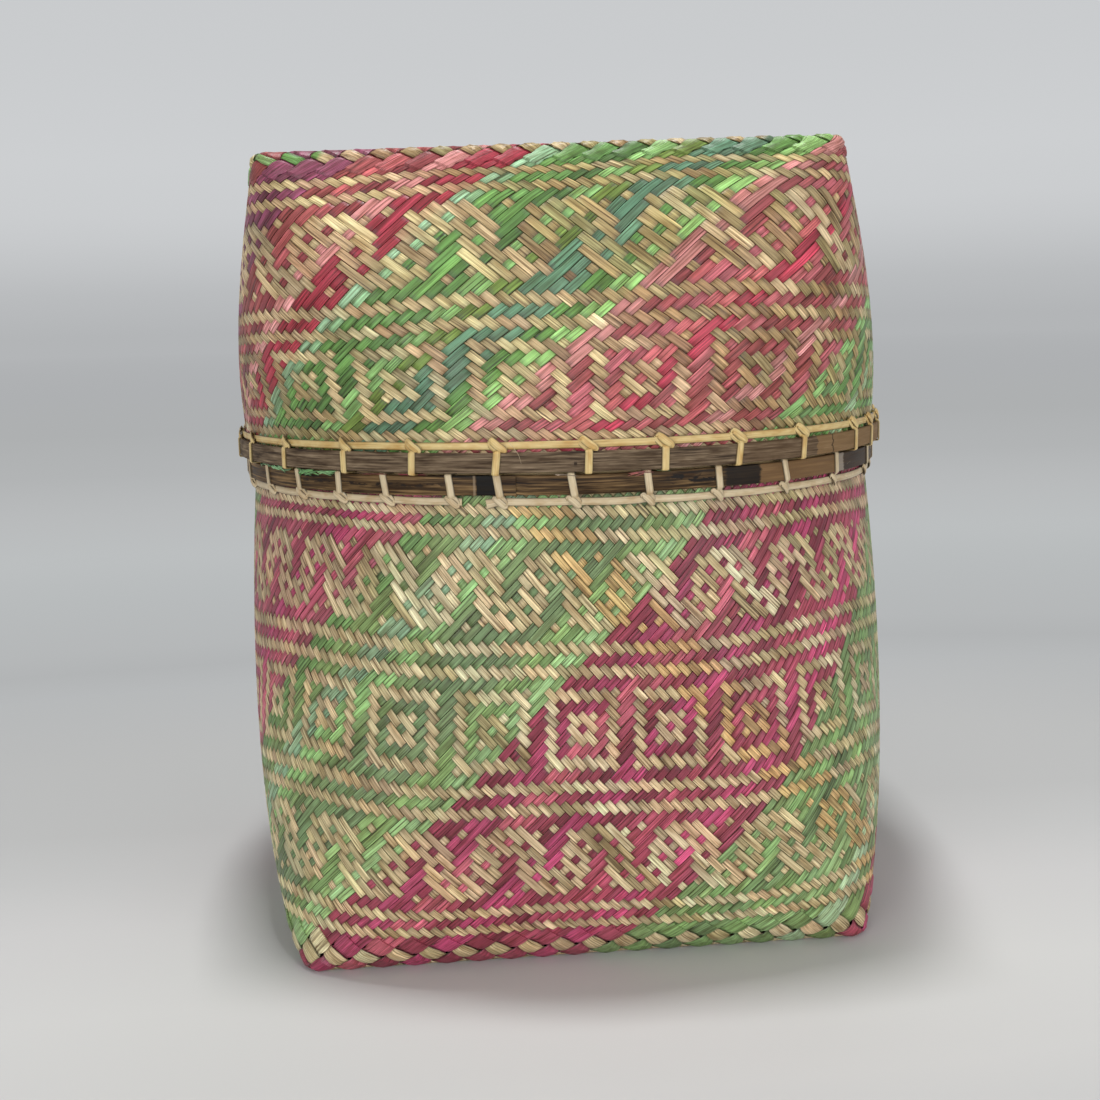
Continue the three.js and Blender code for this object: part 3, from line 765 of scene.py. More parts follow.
def closeBand(piece, merge):
    bpy.ops.object.mode_set(mode="EDIT")
    bpy.ops.mesh.select_all(action="SELECT")
    if merge:
        bpy.ops.mesh.remove_doubles(threshold=0.00001)
    else:
        bpy.ops.mesh.fill_holes(sides=0)
        bpy.ops.mesh.select_all(action="SELECT")
    bpy.ops.mesh.normals_make_consistent(inside=False)
    bpy.ops.object.mode_set(mode="OBJECT")
    selectOnly(piece)
    bpy.ops.object.shade_smooth_by_angle(angle=math.radians(40))


def layAlong(piece, radius, low):
    # lay of the strip: mm to the right of the front and mm up; round the back it runs on past half a turn
    mesh = piece.data
    layer = mesh.uv_layers.get("strip") or mesh.uv_layers.new(name="strip")
    points = np.array([vertex.co[:] for vertex in mesh.vertices])
    angle = np.arctan2(points[:, 0], -points[:, 1])
    for face in mesh.polygons:
        middle = angle[face.vertices[0]]
        for loop in face.loop_indices:
            vertex = mesh.loops[loop].vertex_index
            turn = angle[vertex] + fullTurn * round((middle - angle[vertex]) / fullTurn)
            depth = math.hypot(points[vertex][0], points[vertex][1]) / mm - radius
            layer.data[loop].uv = (turn * radius, points[vertex][2] / mm - low + depth)


def makeHoop(name, band, toWorld, lapStart):
    # the hoop runs on past a whole turn, and its two thinned ends lie on each other in the lap
    lap, step = lapLength / band["inner"], lapStep / band["inner"]
    total = fullTurn + lap
    piece, profile = spinBand(name, band, hoopSteps, total)
    count = len(profile)
    full = band["outer"] - band["inner"]
    places = [0, lap, lap + step, total - lap - step, total - lap, total]
    innerAdd = [0, 0, 0, 0, lapTip + 0.3, full - lapTip]
    outerAdd = [lapTip, full - lapTip - 0.3, full, full, full, full]
    group = np.arange(len(piece.data.vertices)) // count
    spot = np.arange(len(piece.data.vertices)) % count
    along = total * group / hoopSteps
    share = (profile[spot, 0] / mm - band["inner"]) / full
    low, high = np.interp(along, places, innerAdd), np.interp(along, places, outerAdd)
    wave = 0.12 * np.sin(3 * along + 1.0) + 0.08 * np.sin(11 * along)      # mm; no hoop is quite level
    radius = (band["inner"] + low + (high - low) * share) * mm
    z = profile[spot, 2] + wave * mm
    points = np.stack([radius * np.cos(lapStart + along), radius * np.sin(lapStart + along), z], -1)
    piece.data.vertices.foreach_set("co", points.astype(np.float32).ravel())
    piece.data.update()
    closeBand(piece, merge=False)
    if toWorld is not None:
        piece.data.transform(toWorld)
    return piece


def makeRing(name, band, toWorld):
    piece = spinBand(name, band, ringSteps, fullTurn)[0]
    closeBand(piece, merge=True)
    if toWorld is not None:
        piece.data.transform(toWorld)
    return piece


def bambooHoopFinish(name, look, radius):
    # heartwood side of a bamboo strip: long streaks, worn patches and stains where they lie on the real hoop
    material, nodes, links, shader = newMaterial(name)
    lay = addNode(nodes, "ShaderNodeSeparateXYZ")
    links.new(stripPlace(nodes, links, 1, 1), lay.inputs[0])
    streak = stripNoise(nodes, links, look["streakAlong"], look["streakAcross"], 4.0, 0.6)
    colour = addRamp(nodes, links, streak, look["streaks"])
    cloud = stripNoise(nodes, links, look["cloudAlong"], look["cloudAcross"], 3.0)
    worn = addRamp(nodes, links, cloud, [(0.36, look["cloudDark"]), (0.56, white), (0.8, white)])
    colour = mixColour(nodes, links, "MULTIPLY", look["cloudShare"], colour, worn)
    # ragged ends of the stains: the place along the hoop wavers by some mm to either side
    centred = addMath(nodes, links, "SUBTRACT", lay.outputs["X"], look["ragged"] / 2)
    wobble = stripNoise(nodes, links, 0.12, 0.5, 3.0)
    ragged = addMath(nodes, links, "MULTIPLY_ADD", wobble, look["ragged"], centred)
    for stain in look["stains"]:
        along = lay.outputs["X"] if stain.get("crisp") else ragged
        first, last = (math.radians(stain[key]) * radius for key in ("from", "to"))
        amount = between(nodes, links, along, first, last, stain["soft"])
        if "floor" in stain:
            band = between(nodes, links, lay.outputs["Y"], stain["floor"], stain["roof"], 0.5)
            amount = addMath(nodes, links, "MULTIPLY", amount, band)
        if "share" in stain:
            share = stain["share"]
        else:
            share = rangeOf(nodes, links, stripNoise(nodes, links, 0.22, 0.5, 3.0), 0.5, 0.56)
        amount = addMath(nodes, links, "MULTIPLY", amount, share)
        colour = mixColour(nodes, links, "MIX", amount, colour, (*linear(stain["colour"]), 1))
    links.new(colour, shader.inputs["Base Color"])
    links.new(rangeOf(nodes, links, streak, 0.3, 0.7, *look["roughness"]), shader.inputs["Roughness"])
    shader.inputs["Specular IOR Level"].default_value = look["specular"]
    addBump(nodes, links, shader, streak, look["bump"], 0.0004)
    return material


# stains: from and to in degrees right of the front with soft ends in mm, floor and roof in mm up the hoop;
# one without a share is speckled
baseHoopLook = {
    "streakAlong": 0.03, "streakAcross": 1.0, "roughness": (0.4, 0.6), "specular": 0.15, "bump": 0.35,
    "streaks": [(0.36, (34, 24, 13)), (0.45, (72, 53, 32)), (0.54, (110, 86, 55)), (0.65, (146, 117, 80))],
    "cloudAlong": 0.035, "cloudAcross": 0.28, "cloudDark": (106, 84, 60), "cloudShare": 0.9, "ragged": 5.0,
    "stains": [
        {"from": 27.3, "to": 46.5, "soft": 0.5, "share": 0.7, "colour": (128, 98, 66)},
        {"from": 20.6, "to": 27.3, "soft": 0.8, "share": 0.92, "colour": (30, 24, 20)},
        {"from": 11, "to": 20.6, "soft": 1.5, "colour": (26, 21, 18), "floor": 2.4, "roof": 6.0},
        {"from": -18, "to": -15.1, "soft": 0.2, "share": 0.97, "colour": (11, 8, 6), "crisp": True},
        {"from": -18.5, "to": -18.15, "soft": 0.15, "share": 0.6, "colour": (150, 130, 106), "crisp": True},
        {"from": -52, "to": -22, "soft": 6, "colour": (36, 27, 20), "floor": 3.2, "roof": 4.6},
        {"from": 46.5, "to": 49.5, "soft": 0.4, "share": 0.75, "colour": (156, 146, 134)},
        {"from": 49.5, "to": 66, "soft": 0.8, "share": 0.85, "colour": (60, 49, 41)},
    ],
}
lidHoopLook = {
    "streakAlong": 0.045, "streakAcross": 1.2, "roughness": (0.6, 0.8), "specular": 0.15, "bump": 0.45,
    "streaks": [(0.35, (58, 46, 35)), (0.45, (99, 82, 64)), (0.56, (125, 107, 86)), (0.68, (154, 135, 110))],
    "cloudAlong": 0.06, "cloudAcross": 0.3, "cloudDark": (150, 136, 124), "cloudShare": 0.8, "ragged": 5.0,
    "stains": [
        {"from": 23, "to": 39, "soft": 4.0, "share": 0.45, "colour": (98, 76, 54)},
        {"from": 39, "to": 75, "soft": 0.4, "share": 0.7, "colour": (140, 110, 74)},
        {"from": 43.2, "to": 43.5, "soft": 0.2, "share": 0.85, "colour": (44, 32, 24)},
        {"from": -3.35, "to": -2.9, "soft": 0.15, "share": 0.9, "colour": (38, 30, 26), "crisp": True,
         "floor": 2.4, "roof": 3.6},
    ],
}
innerHoopLook = dict(lidHoopLook, stains=[],
                     streaks=[(0.25, (120, 94, 64)), (0.5, (150, 122, 86)), (0.8, (176, 148, 108))])
collarLook = dict(lidHoopLook, stains=[], cloudShare=0.4,
                  streaks=[(0.25, (186, 158, 112)), (0.5, (206, 180, 136)), (0.8, (222, 200, 158))])


def buildHoops():
    lidMatrix = lidPlace()
    lapStart = math.radians(baseHoop["lapFrom"]) - quarterTurn
    base = makeHoop("base_hoop_strip", baseHoop, None, lapStart)
    layAlong(base, baseHoop["outer"], baseLow)
    finish = bambooHoopFinish("dark hoop of the base", baseHoopLook, baseHoop["outer"])
    finishPiece(base, "base", "base_hoop", finish, "base_outer_hoop")
    lapStart = lidTurn - (math.radians(lidHoop["lapFrom"]) - quarterTurn)
    lid = makeHoop("lid_hoop_strip", lidHoop, lidMatrix, lapStart)
    layAlong(lid, lidHoop["outer"], lidMouth)
    finish = bambooHoopFinish("grey hoop of the lid", lidHoopLook, lidHoop["outer"])
    finishPiece(lid, "lid", "lid_hoop", finish, "lid_outer_hoop")
    innerFinish = bambooHoopFinish("brown inner hoops", innerHoopLook, baseInnerHoop["outer"])
    collarFinish = bambooHoopFinish("undyed collar band", collarLook, collarBand["outer"])
    for name, band, matrix, low, finish, body, slot, node in (
            ("base_inner_band", baseInnerHoop, None, baseLow, innerFinish,
             "base", "base_hoop", "base_inner_hoop"),
            ("lid_inner_band", lidInnerHoop, lidMatrix, lidMouth, innerFinish,
             "lid", "lid_hoop", "lid_inner_hoop"),
            ("collar_band", collarBand, None, baseLow, collarFinish,
             "base", "collar", "base_collar")):
        ring = makeRing(name, band, matrix)
        layAlong(ring, band["outer"], low)
        finishPiece(ring, body, slot, finish, node)


buildHoops()
print("box: hoops and collar bent")

# lashings: one flat cane each, a runner beside the hoop that at every tie goes up, over and in and across
# itself; lengths in mm
cane = {
    "width": 2.9, "thickness": 0.7,
    "knotWidth": 2.4,        # where it crosses itself
    "lay": 0.65,             # its mid line off what it lies on
    "tight": 0.4,            # off the hoop's face, where it is pulled tight
    "runnerDrop": 1.5,       # from the hoop's edge to the runner
    "slotOffset": 4.0,       # from the tie to where the cane comes in through the weave
    "cornerReach": 0.9,      # from a bend to where its rounding starts
}

# ties in degrees right of the front; the ones that the photograph doesn't show stand evenly
baseTies = [-14.4, -3.4, 8, 19.6, 33, 46.6, 62.8, *np.linspace(74.4, 284.4, 19),
            296.8, 307.8, 317.6, 327, 338]
lidTies = [*np.linspace(162, 278.7, 11), 291.6, 305.4, 319.8, 332.4, 345.6, 358.8, 370.2, 382.6, 395.6, 411.6,
           420.4, 430.4, *np.linspace(440.4, 510.4, 7)]


def tieStops(rim, lean, slack):
    # along, out and up in mm from the runner, facing and width: a bar over the hoops and down inside
    w, lay, knot, splay = cane["width"], cane["lay"], cane["knotWidth"], rim["splay"]
    foot = w / 2 + cane["runnerDrop"]
    top = foot + hoopHeight
    face = fitGap + hoopThickness + cane["tight"]
    inside = -rim["depth"] - lay
    slot = -cane["slotOffset"]
    bend, rise = 0.69 * lay, 0.46 * lay
    over = lay + 0.6 + cane["thickness"]
    out, up, back, down = (0, 1, 0), (0, 0, 1), (0, -1, 0), (0, 0, -1)
    bar = [
        [0.62 * w * splay, lay - 0.4, -0.6 * w, out, 0.8 * w],
        [0.42 * w * splay, lay + 0.55, -0.1 * w, out, 0.95 * w],
        [0.06 * w, lay + 0.85, 0.6 * w, out, w], [0, face, foot - 0.1, out, w],
        [lean, face, top + rise, out, w], [lean, face - bend, top + lay, up, w],
        [0, inside + bend, top + lay, up, w], [0, inside, top + rise, back, w],
        [slot, inside, foot - rise, back, w], [slot, inside + bend, foot - lay, down, w],
        [slot, -1.2, foot - lay, down, w],
    ]
    # the same cane comes out again behind the bar's foot and crosses it; where slack, it stands off further
    wrap = []
    for along, stand, climb, share, wide in rim["wrap"]:
        loose = slack * share
        aside, off = along * w - 0.7 * loose, over + stand + 0.5 * loose
        wrap.append([aside, off, (climb + 0.15 * loose) * w, out, knot * wide])
    return bar, wrap


def caneRoutes(rim, rng):
    # the runner, then the cane of every tie, as rows of place, facing and width
    outward = (0, 1, 0)
    drop = cane["width"] / 2 + cane["runnerDrop"]
    runnerZ = rim["height"] - hoopHeight - drop
    routes = []

    def stop(angle, out, up, facing, width):
        radius = rim["radius"] + out
        closer = rim["closer"](math.degrees(angle) % 360) * min(max(1 - up / drop, 0), 1)
        return (radius * math.cos(angle), radius * math.sin(angle), runnerZ + up + closer,
                facing[1] * math.cos(angle) - facing[0] * math.sin(angle),
                facing[1] * math.sin(angle) + facing[0] * math.cos(angle), facing[2], width)

    ties = rim["ties"]
    runner = [stop(ties[0] + along * cane["width"] / rim["radius"], cane["lay"] + 0.2, up, outward, width)
              for along, up, width in rim["tail"]]
    for index, tie in enumerate(ties):
        runner.append(stop(tie, cane["lay"], rng.normal(0, 0.12), outward, cane["width"]))
        if index < len(ties) - 1:
            gap = ties[index + 1] - tie
            droop = rim["droop"] * rng.uniform(0.3, 1.2)
            for share in (0.12, 0.3, 0.5, 0.7, 0.88):
                sag = -droop * 4 * share * (1 - share)
                runner.append(stop(tie + gap * share, cane["lay"], sag, outward, cane["width"]))
    last = ties[-1] + 1.2 * cane["width"] / rim["radius"]
    runner.append(stop(last, cane["lay"], -0.3, outward, cane["width"]))
    routes.append(np.array(runner))
    for tie in ties:
        isSlack = rim["slackFrom"] < math.degrees(tie) % 360 < rim["slackTo"]
        slack = rim["slack"] * isSlack * rng.uniform(0.7, 1.1) + rng.uniform(0, 0.15)
        aside = rng.normal(0, 0.12)
        for stops in tieStops(rim, rim["lean"] + rng.normal(0, 0.35), slack):
            routes.append(np.array([stop(tie + (along + aside) / rim["radius"], out, up, facing, width)
                                    for along, out, up, facing, width in stops]))
    return routes


def roundCorners(route, reach):
    # keeps the long stretches straight and rounds the bends
    dense = [route[0]]
    for a, b in zip(route[:-1], route[1:]):
        gap = np.linalg.norm(b[:3] - a[:3])
        if gap > 2.4 * reach:
            dense += [a + (b - a) * reach / gap, b + (a - b) * reach / gap]
        dense.append(b)
    path = np.array(dense)
    for cutAgain in range(2):
        a, b = path[:-1], path[1:]
        cut = np.stack([0.75 * a + 0.25 * b, 0.25 * a + 0.75 * b], 1).reshape(-1, path.shape[1])
        path = np.concatenate([path[:1], cut, path[-1:]])
    return path


def lashRim(name, rim, place, rng):
    # split cane: flat behind, gently rounded in front; across and crown are its section
    across = np.array([-0.5, -0.5, -0.38, -0.14, 0.14, 0.38, 0.5, 0.5])
    crown = np.array([-0.5, 0.05, 0.38, 0.5, 0.5, 0.38, 0.05, -0.5]) * cane["thickness"]
    sections, ids, uvs = [], [], []
    for index, route in enumerate(caneRoutes(rim, rng)):
        path = roundCorners(route, cane["cornerReach"])
        points, facing, width = path[:, :3], path[:, 3:6], path[:, 6]
        step = np.diff(points, axis=0)
        far = np.linalg.norm(step, axis=1, keepdims=True)
        step = step / far
        tangent = np.concatenate([step[:1], step[1:] + step[:-1], step[-1:]])
        tangent = tangent / np.linalg.norm(tangent, axis=1, keepdims=True)
        face = facing - tangent * (facing * tangent).sum(1, keepdims=True)
        face = face / np.linalg.norm(face, axis=1, keepdims=True)
        edge = np.cross(face, tangent)
        sections.append(points[:, None] + edge[:, None] * (across[None, :, None] * width[:, None, None])
                        + face[:, None] * crown[None, :, None])
        # every length of cane has a place of its own in the grain
        run = np.concatenate([[0], np.cumsum(far)]) + index * 61.7
        uvs.append(np.stack([run[:, None] + 0 * across, across * width[:, None] + index * 7.3], -1))
        ids.append(np.full(len(path), index))
    sections, ids, uvs = np.concatenate(sections), np.concatenate(ids), np.concatenate(uvs)
    # painted shadow: the cane's edges are darkened as if shaded where it lies on what is beneath
    shades = np.array([0.2, 0.3, 0.9, 1, 1, 0.9, 0.3, 0.2])
    return sweep(name, sections[:, ::-1], ids, uvs[:, ::-1], np.ones((len(sections), 3)), shades, place, 50)


def caneFinish(name, look):
    material, nodes, links, shader = newMaterial(name)
    ridge = stripNoise(nodes, links, 0.02, 2.2, 3.0)
    colour = addRamp(nodes, links, ridge, look["ridges"])
    cloud = stripNoise(nodes, links, 0.12, 0.3, 2.0)
    worn = addRamp(nodes, links, cloud, [(0.3, look["cloudDark"]), (0.55, white), (0.8, white)])
    colour = mixColour(nodes, links, "MULTIPLY", 0.8, colour, worn)
    # the colour attribute carries the cane's painted edge shadow
    edge = addNode(nodes, "ShaderNodeVertexColor", layer_name="dye_and_painted_shade").outputs["Color"]
    links.new(mixColour(nodes, links, "MULTIPLY", 1.0, colour, edge), shader.inputs["Base Color"])
    links.new(rangeOf(nodes, links, ridge, 0.3, 0.7, 0.34, 0.52), shader.inputs["Roughness"])
    shader.inputs["Specular IOR Level"].default_value = 0.45
    addBump(nodes, links, shader, ridge, 0.5, 0.0003)
    return material


baseCaneLook = {
    "ridges": [(0.25, (172, 150, 116)), (0.45, (206, 186, 150)), (0.65, (218, 200, 166)),
               (0.85, (228, 214, 184))],
    "cloudDark": (222, 204, 180),
}
lidCaneLook = {
    "ridges": [(0.25, (176, 142, 84)), (0.45, (216, 188, 126)), (0.65, (228, 204, 144)),
               (0.85, (238, 220, 168))],
    "cloudDark": (226, 200, 160),
}
baseRim = {
    "radius": baseBasket["mouthRadius"], "height": baseBasket["height"],
    "depth": baseBasket["mouthRadius"] - baseInnerHoop["inner"],
    "lean": -1.1,            # mm that a bar's head stands to one side
    "droop": 0.3,            # mm that the runner sags between ties
    "splay": 1.1,            # how far the bar's tail reaches out sideways
    "ties": [math.radians(tie) - quarterTurn for tie in baseTies],
    # where the cane starts: along in widths of the cane, up and its width in mm
    "tail": [(-1.9, -0.95, 3.7), (-0.9, -0.35, 3.1)],
    # from behind the runner across the bar's foot and behind it again: along in widths, out in mm, up in
    # widths, share of the slack, width as a share of the knot's
    "wrap": [(-0.3, -1.7, 0.2, 0, 0.7), (-0.85, -0.9, 0.46, 0.5, 0.85), (-0.72, -0.25, 0.56, 1, 1),
             (-0.2, 0.15, 0.12, 0.6, 1.1), (0.28, -0.1, -0.4, 0.2, 1.1), (0.56, -0.9, -0.66, 0, 1),
             (0.5, -1.9, -0.35, 0, 0.8)],
    # places round the rim where the knots are slack, and mm of slack
    "slackFrom": 190, "slackTo": 238, "slack": 1.3,
    # mm by which the runner lies closer to the hoop, by place round the rim
    "closer": lambda degrees: float(np.interp(degrees, [150, 195, 235, 262, 285], [0, 1.1, 1.1, 0.5, 0])),
}
lidRim = {
    "radius": lidBasket["mouthRadius"], "height": lidBasket["height"],
    "depth": lidBasket["mouthRadius"] - lidInnerHoop["inner"], "lean": 0.5, "droop": 0.1, "splay": 1.9,
    "ties": [lidTurn - (math.radians(tie) - quarterTurn) for tie in reversed(lidTies)],
    "tail": [(-1.2, 0, 2.9)],
    "wrap": [(-0.4, -0.9, 0.95, 0, 0.9), (-0.92, 0.0, 0.74, 0.4, 1.05), (-0.58, 0.5, 0.34, 0.8, 1.2),
             (0, 0.3, -0.08, 1, 1.3), (0.55, 0.0, -0.56, 0.8, 1.2), (0.86, -0.8, -0.8, 0.3, 1.05),
             (0.7, -1.8, -0.4, 0, 0.8)],
    "slackFrom": 0, "slackTo": 360, "slack": 0.1,
    "closer": lambda degrees: float(np.interp(degrees, [0, 20, 90, 120, 140, 175, 200],
                                              [0, 0.2, 0.5, 0.7, 1, 1, 0])),
}


def lashBox():
    rng = np.random.RandomState(5)
    base = lashRim("base_cane", baseRim, None, rng)
    finishPiece(base, "base", "base_cane", caneFinish("beige split cane", baseCaneLook), "base_lashing")
    lid = lashRim("lid_cane", lidRim, lidPlace(), rng)
    finishPiece(lid, "lid", "lid_cane", caneFinish("straw yellow split cane", lidCaneLook), "lid_lashing")


lashBox()
print("box: rims lashed")

# torn strip ends that hang out between the hoops: from and to in degrees right of the front, drop in mm and
# number of splinters
tornEnds = [
    {"from": -67, "to": -61, "drop": 1.6, "count": 9, "colour": (118, 160, 112)},
    {"from": -61.5, "to": -54, "drop": 2.4, "count": 16, "colour": (140, 190, 138)},
    {"from": -53, "to": -46.5, "drop": 3.1, "count": 14, "colour": (116, 172, 110)},
    {"from": -47.5, "to": -41.5, "drop": 2.2, "count": 12, "colour": (134, 184, 128)},
    {"from": -39, "to": -32, "drop": 1.0, "count": 9, "colour": (120, 70, 54)},
    {"from": -31, "to": -25, "drop": 0.9, "count": 7, "colour": (112, 40, 44)},
    {"from": 4.0, "to": 8.8, "drop": 2.2, "count": 8, "colour": (160, 88, 82)},
    {"from": 8.8, "to": 11.4, "drop": 1.2, "count": 4, "colour": (70, 92, 54)},
    {"from": -6.2, "to": -4.8, "drop": 1.6, "count": 3, "colour": (138, 122, 104)},
]


def tearEnds():
    rng = np.random.RandomState(31)
    sections, ids, uvs, tints = [], [], [], []
    share = np.linspace(0, 1, 6)
    hang, behind = lidMouth - 0.4, baseHoop["outer"] + 0.2      # where they come out, height and radius
    for end in tornEnds:
        for splinter in range(end["count"]):
            span = rng.uniform(1.2, 3.6)
            start = rng.uniform(end["from"], max(end["to"] - span, end["from"] + 0.3))
            turns = np.radians(start + span * share) - quarterTurn
            slope = share if rng.rand() < 0.5 else 1 - share
            top = hang - end["drop"] * (rng.uniform(0, 0.35) + rng.uniform(0.1, 0.75) * slope ** 1.5)
            wide = end["drop"] * rng.uniform(0.15, 0.33) * (1 - 0.85 * slope) + 0.12
            wide = wide * np.array([0.25, 1, 0.85, 1, 0.9, 0.2])
            near = behind + rng.uniform(0, 0.5) + 0.4 * rng.rand() * slope
            tint = linear(end["colour"]) * (1.1 + rng.normal(0, 0.3))
            for k, turn in enumerate(turns):
                r, high, low = near[k], top[k], top[k] - wide[k]
                rows = [(r, high), (r + 0.16, high), (r + 0.2, low), (r + 0.04, low)]
                sections.append([(out * math.cos(turn), out * math.sin(turn), z) for out, z in rows])
                uvs.append([(k * 1.5 + len(ids) * 40, m * 0.8) for m in range(4)])
                tints.append(tint)
            ids += [ids[-1] + 1 if ids else 0] * len(turns)
    # painted light and shade across each splinter: the side towards the basket darker, the outer face lighter
    piece = sweep("base_torn_ends", np.array(sections)[:, ::-1], np.array(ids), np.array(uvs)[:, ::-1],
                  np.clip(tints, 0.01, 0.9), np.array([0.7, 1.1, 1.0, 0.45]), smooth=25)
    finishPiece(piece, "base", "base_weave", baseStripFinish, "base_basket")


tearEnds()

# loose fibres that stand off the weave: place in strips and level, mm out, and drift in strips and levels
hairs = [
    {"body": "lid", "u": -6.6, "level": 1.2, "out": 3.0, "drift": (0.2, -1)},
    {"body": "lid", "u": -21.3, "level": 0.8, "out": 2.4, "drift": (-0.8, -0.8)},
    {"body": "lid", "u": 1.6, "level": 51, "out": 4.0, "drift": (0.4, -2.6)},
    {"body": "lid", "u": 2.4, "level": 54, "out": 3.2, "drift": (0.6, 1.8)},
    {"body": "lid", "u": 3.0, "level": 38, "out": 2.2, "drift": (0.3, -1.2)},
    {"body": "lid", "u": -42.5, "level": 33, "out": 3.2, "drift": (-0.8, -1.4)},
    {"body": "lid", "u": -42, "level": 52, "out": 2.6, "drift": (-0.6, -2.0)},
    {"body": "base", "u": -3, "level": 30, "out": 2.4, "drift": (-0.5, 1.5)},
    {"body": "base", "u": 56.5, "level": 86, "out": 3.4, "drift": (1.5, 1.2)},
    {"body": "base", "u": 57, "level": 85, "out": 3.0, "drift": (1.0, -1.4)},
]
# one more hangs from a knot of the lid: degrees right of the front, radius and height in mm
knotFibre = [(-12.6, 144.9, 210.9), (-11.9, 145.9, 209.2), (-11.2, 146.2, 206.6), (-10.9, 145.4, 203.4)]
fibre = {"thickness": 0.13, "thinning": 0.7, "colour": (196, 184, 156), "stations": 7, "root": -0.4}


def knotPath(place, share):
    # taken back from where it hangs into the frame that the lid is made in
    world = []
    for degrees, radius, z in knotFibre:
        angle = math.radians(degrees) - quarterTurn
        world.append((radius * math.cos(angle), radius * math.sin(angle), z))
    back = np.array(place.inverted())
    made = (np.array(world) * mm) @ back[:3, :3].T + back[:3, 3]
    known = np.linspace(0, 1, len(knotFibre))
    return np.stack([np.interp(share, known, made[:, axis] / mm) for axis in range(3)], -1)


def pullHairs():
    stations = fibre["stations"]
    share = np.linspace(0, 1, stations)
    thick = fibre["thickness"] * (1 - fibre["thinning"] * share)
    ring = np.array([(1, 0, 0), (-0.5, 0.8, 0.3), (-0.5, -0.8, -0.3)])
    for body, basket, place, slot, finish, node in (
            ("base", baseBasket, None, "base_weave", baseStripFinish, "base_basket"),
            ("lid", lidBasket, lidPlace(), "lid_weave", lidStripFinish, "lid_basket")):
        count = 4 * basket["wide"] * basket["split"]
        sections, ids, uvs, paths = [], [], [], []
        for hair in hairs:
            if hair["body"] == body:
                turn = basket["corner"] + (hair["u"] + hair["drift"][0] * share ** 2) / count
                length = lengthAt(basket, hair["level"] + hair["drift"][1] * share ** 2)
                paths.append(skin(basket, turn, length, fibre["root"] + hair["out"] * share))
        if body == "lid":
            paths.append(knotPath(place, share))
        for index, path in enumerate(paths):
            sections.append(path[:, None] + ring[None] * thick[:, None, None])
            ids.append(np.full(stations, index))
            uvs.append(np.stack([share[:, None] * 4 + np.zeros(3), np.full((stations, 3), float(index))], -1))
        sections, ids, uvs = np.concatenate(sections), np.concatenate(ids), np.concatenate(uvs)
        colour = np.tile(linear(fibre["colour"]), (len(sections), 1))
        piece = sweep(f"{body}_loose_fibres", sections, ids, uvs, colour, np.ones(3), place)
        finishPiece(piece, body, slot, finish, node)


pullHairs()
print("box: torn ends and loose fibres laid")

# the camera stands where the photograph was taken from; place in mm
view = {
    "imagePixels": 1100, "focalPixels": 1401.19, "sensor": 36, "place": (-62.17, -647.21, 252.72),
    "right": 5.0173, "down": 9.1326, "roll": -1.5374,           # degrees
}


def setCamera():
    yaw, pitch, roll = (math.radians(view[key]) for key in ("right", "down", "roll"))
    forward = Vector((math.sin(yaw) * math.cos(pitch), math.cos(yaw) * math.cos(pitch), -math.sin(pitch)))
    right = Vector((math.cos(yaw), -math.sin(yaw), 0))
    up = right.cross(forward)
    level = math.cos(roll) * right + math.sin(roll) * up
    upright = -math.sin(roll) * right + math.cos(roll) * up
    data = bpy.data.cameras.new("camera")
    data.sensor_width = view["sensor"]
    data.lens = view["sensor"] * view["focalPixels"] / view["imagePixels"]
    camera = bpy.data.objects.new("camera", data)
    bpy.context.collection.objects.link(camera)
    turn = Matrix((level, upright, -forward)).transposed().to_4x4()
    camera.matrix_world = Matrix.Translation(Vector(view["place"]) * mm) @ turn
    bpy.context.scene.camera = camera


# light, floor and backdrop, lengths in m
studio = {
    "skyStrength": 0.34,
    # tone of the paper by how far back it is, within half a metre: painted shade, the paper darker towards
    # the back
    "floorHalf": 0.5,
    "floor": [(-0.2, (202, 202, 201)), (-0.14, (205, 205, 204)), (-0.06, (200, 200, 200)),
              (0.0, (191, 192, 192)), (0.06, (185, 186, 186))],
    # tone of the glowing backdrop by the distance from the box, squeezed sideways; its rises and dips are
    # painted light and shade, with a painted shadow line near 0.4 m
    "backdrop": [(0.3, (184, 186, 187)), (0.375, (183, 185, 186)), (0.4, (173, 175, 176)),
                 (0.43, (177, 179, 180)), (0.48, (181, 183, 184)), (0.74, (184, 187, 188)),
                 (1.0, (188, 191, 192)), (1.4, (185, 187, 188)), (2.0, (178, 180, 181)),
                 (3.1, (174, 176, 177)), (5.9, (174, 176, 178)), (19.0, (179, 181, 183))],
    # tone of what is above the floor by the rise of the line of sight
    "above": [(0.0, (179, 181, 183)), (0.028, (186, 188, 190)), (0.045, (193, 195, 197)),
              (0.062, (199, 201, 203)), (0.079, (203, 205, 207)), (0.112, (205, 207, 209)),
              (0.177, (202, 204, 206)), (0.3, (199, 201, 203))],
    "nearEdge": 0.22, "farEdge": 0.38, "squeeze": 0.45,         # where the paper passes into the backdrop
    "floorSize": 40, "floorDrop": 0.0002,
    "aim": (0, 0, 0.15),
    # place, size and power of the lamps
    "lamps": [((-0.75, -1.55, 0.38), 1.2, 13.8), ((0.95, -1.45, 0.34), 1.2, 11.8),
              ((-0.05, -0.01, 1.7), 0.2, 16.0), ((0.4, 1.6, 0.6), 1.2, 7.0)],
}


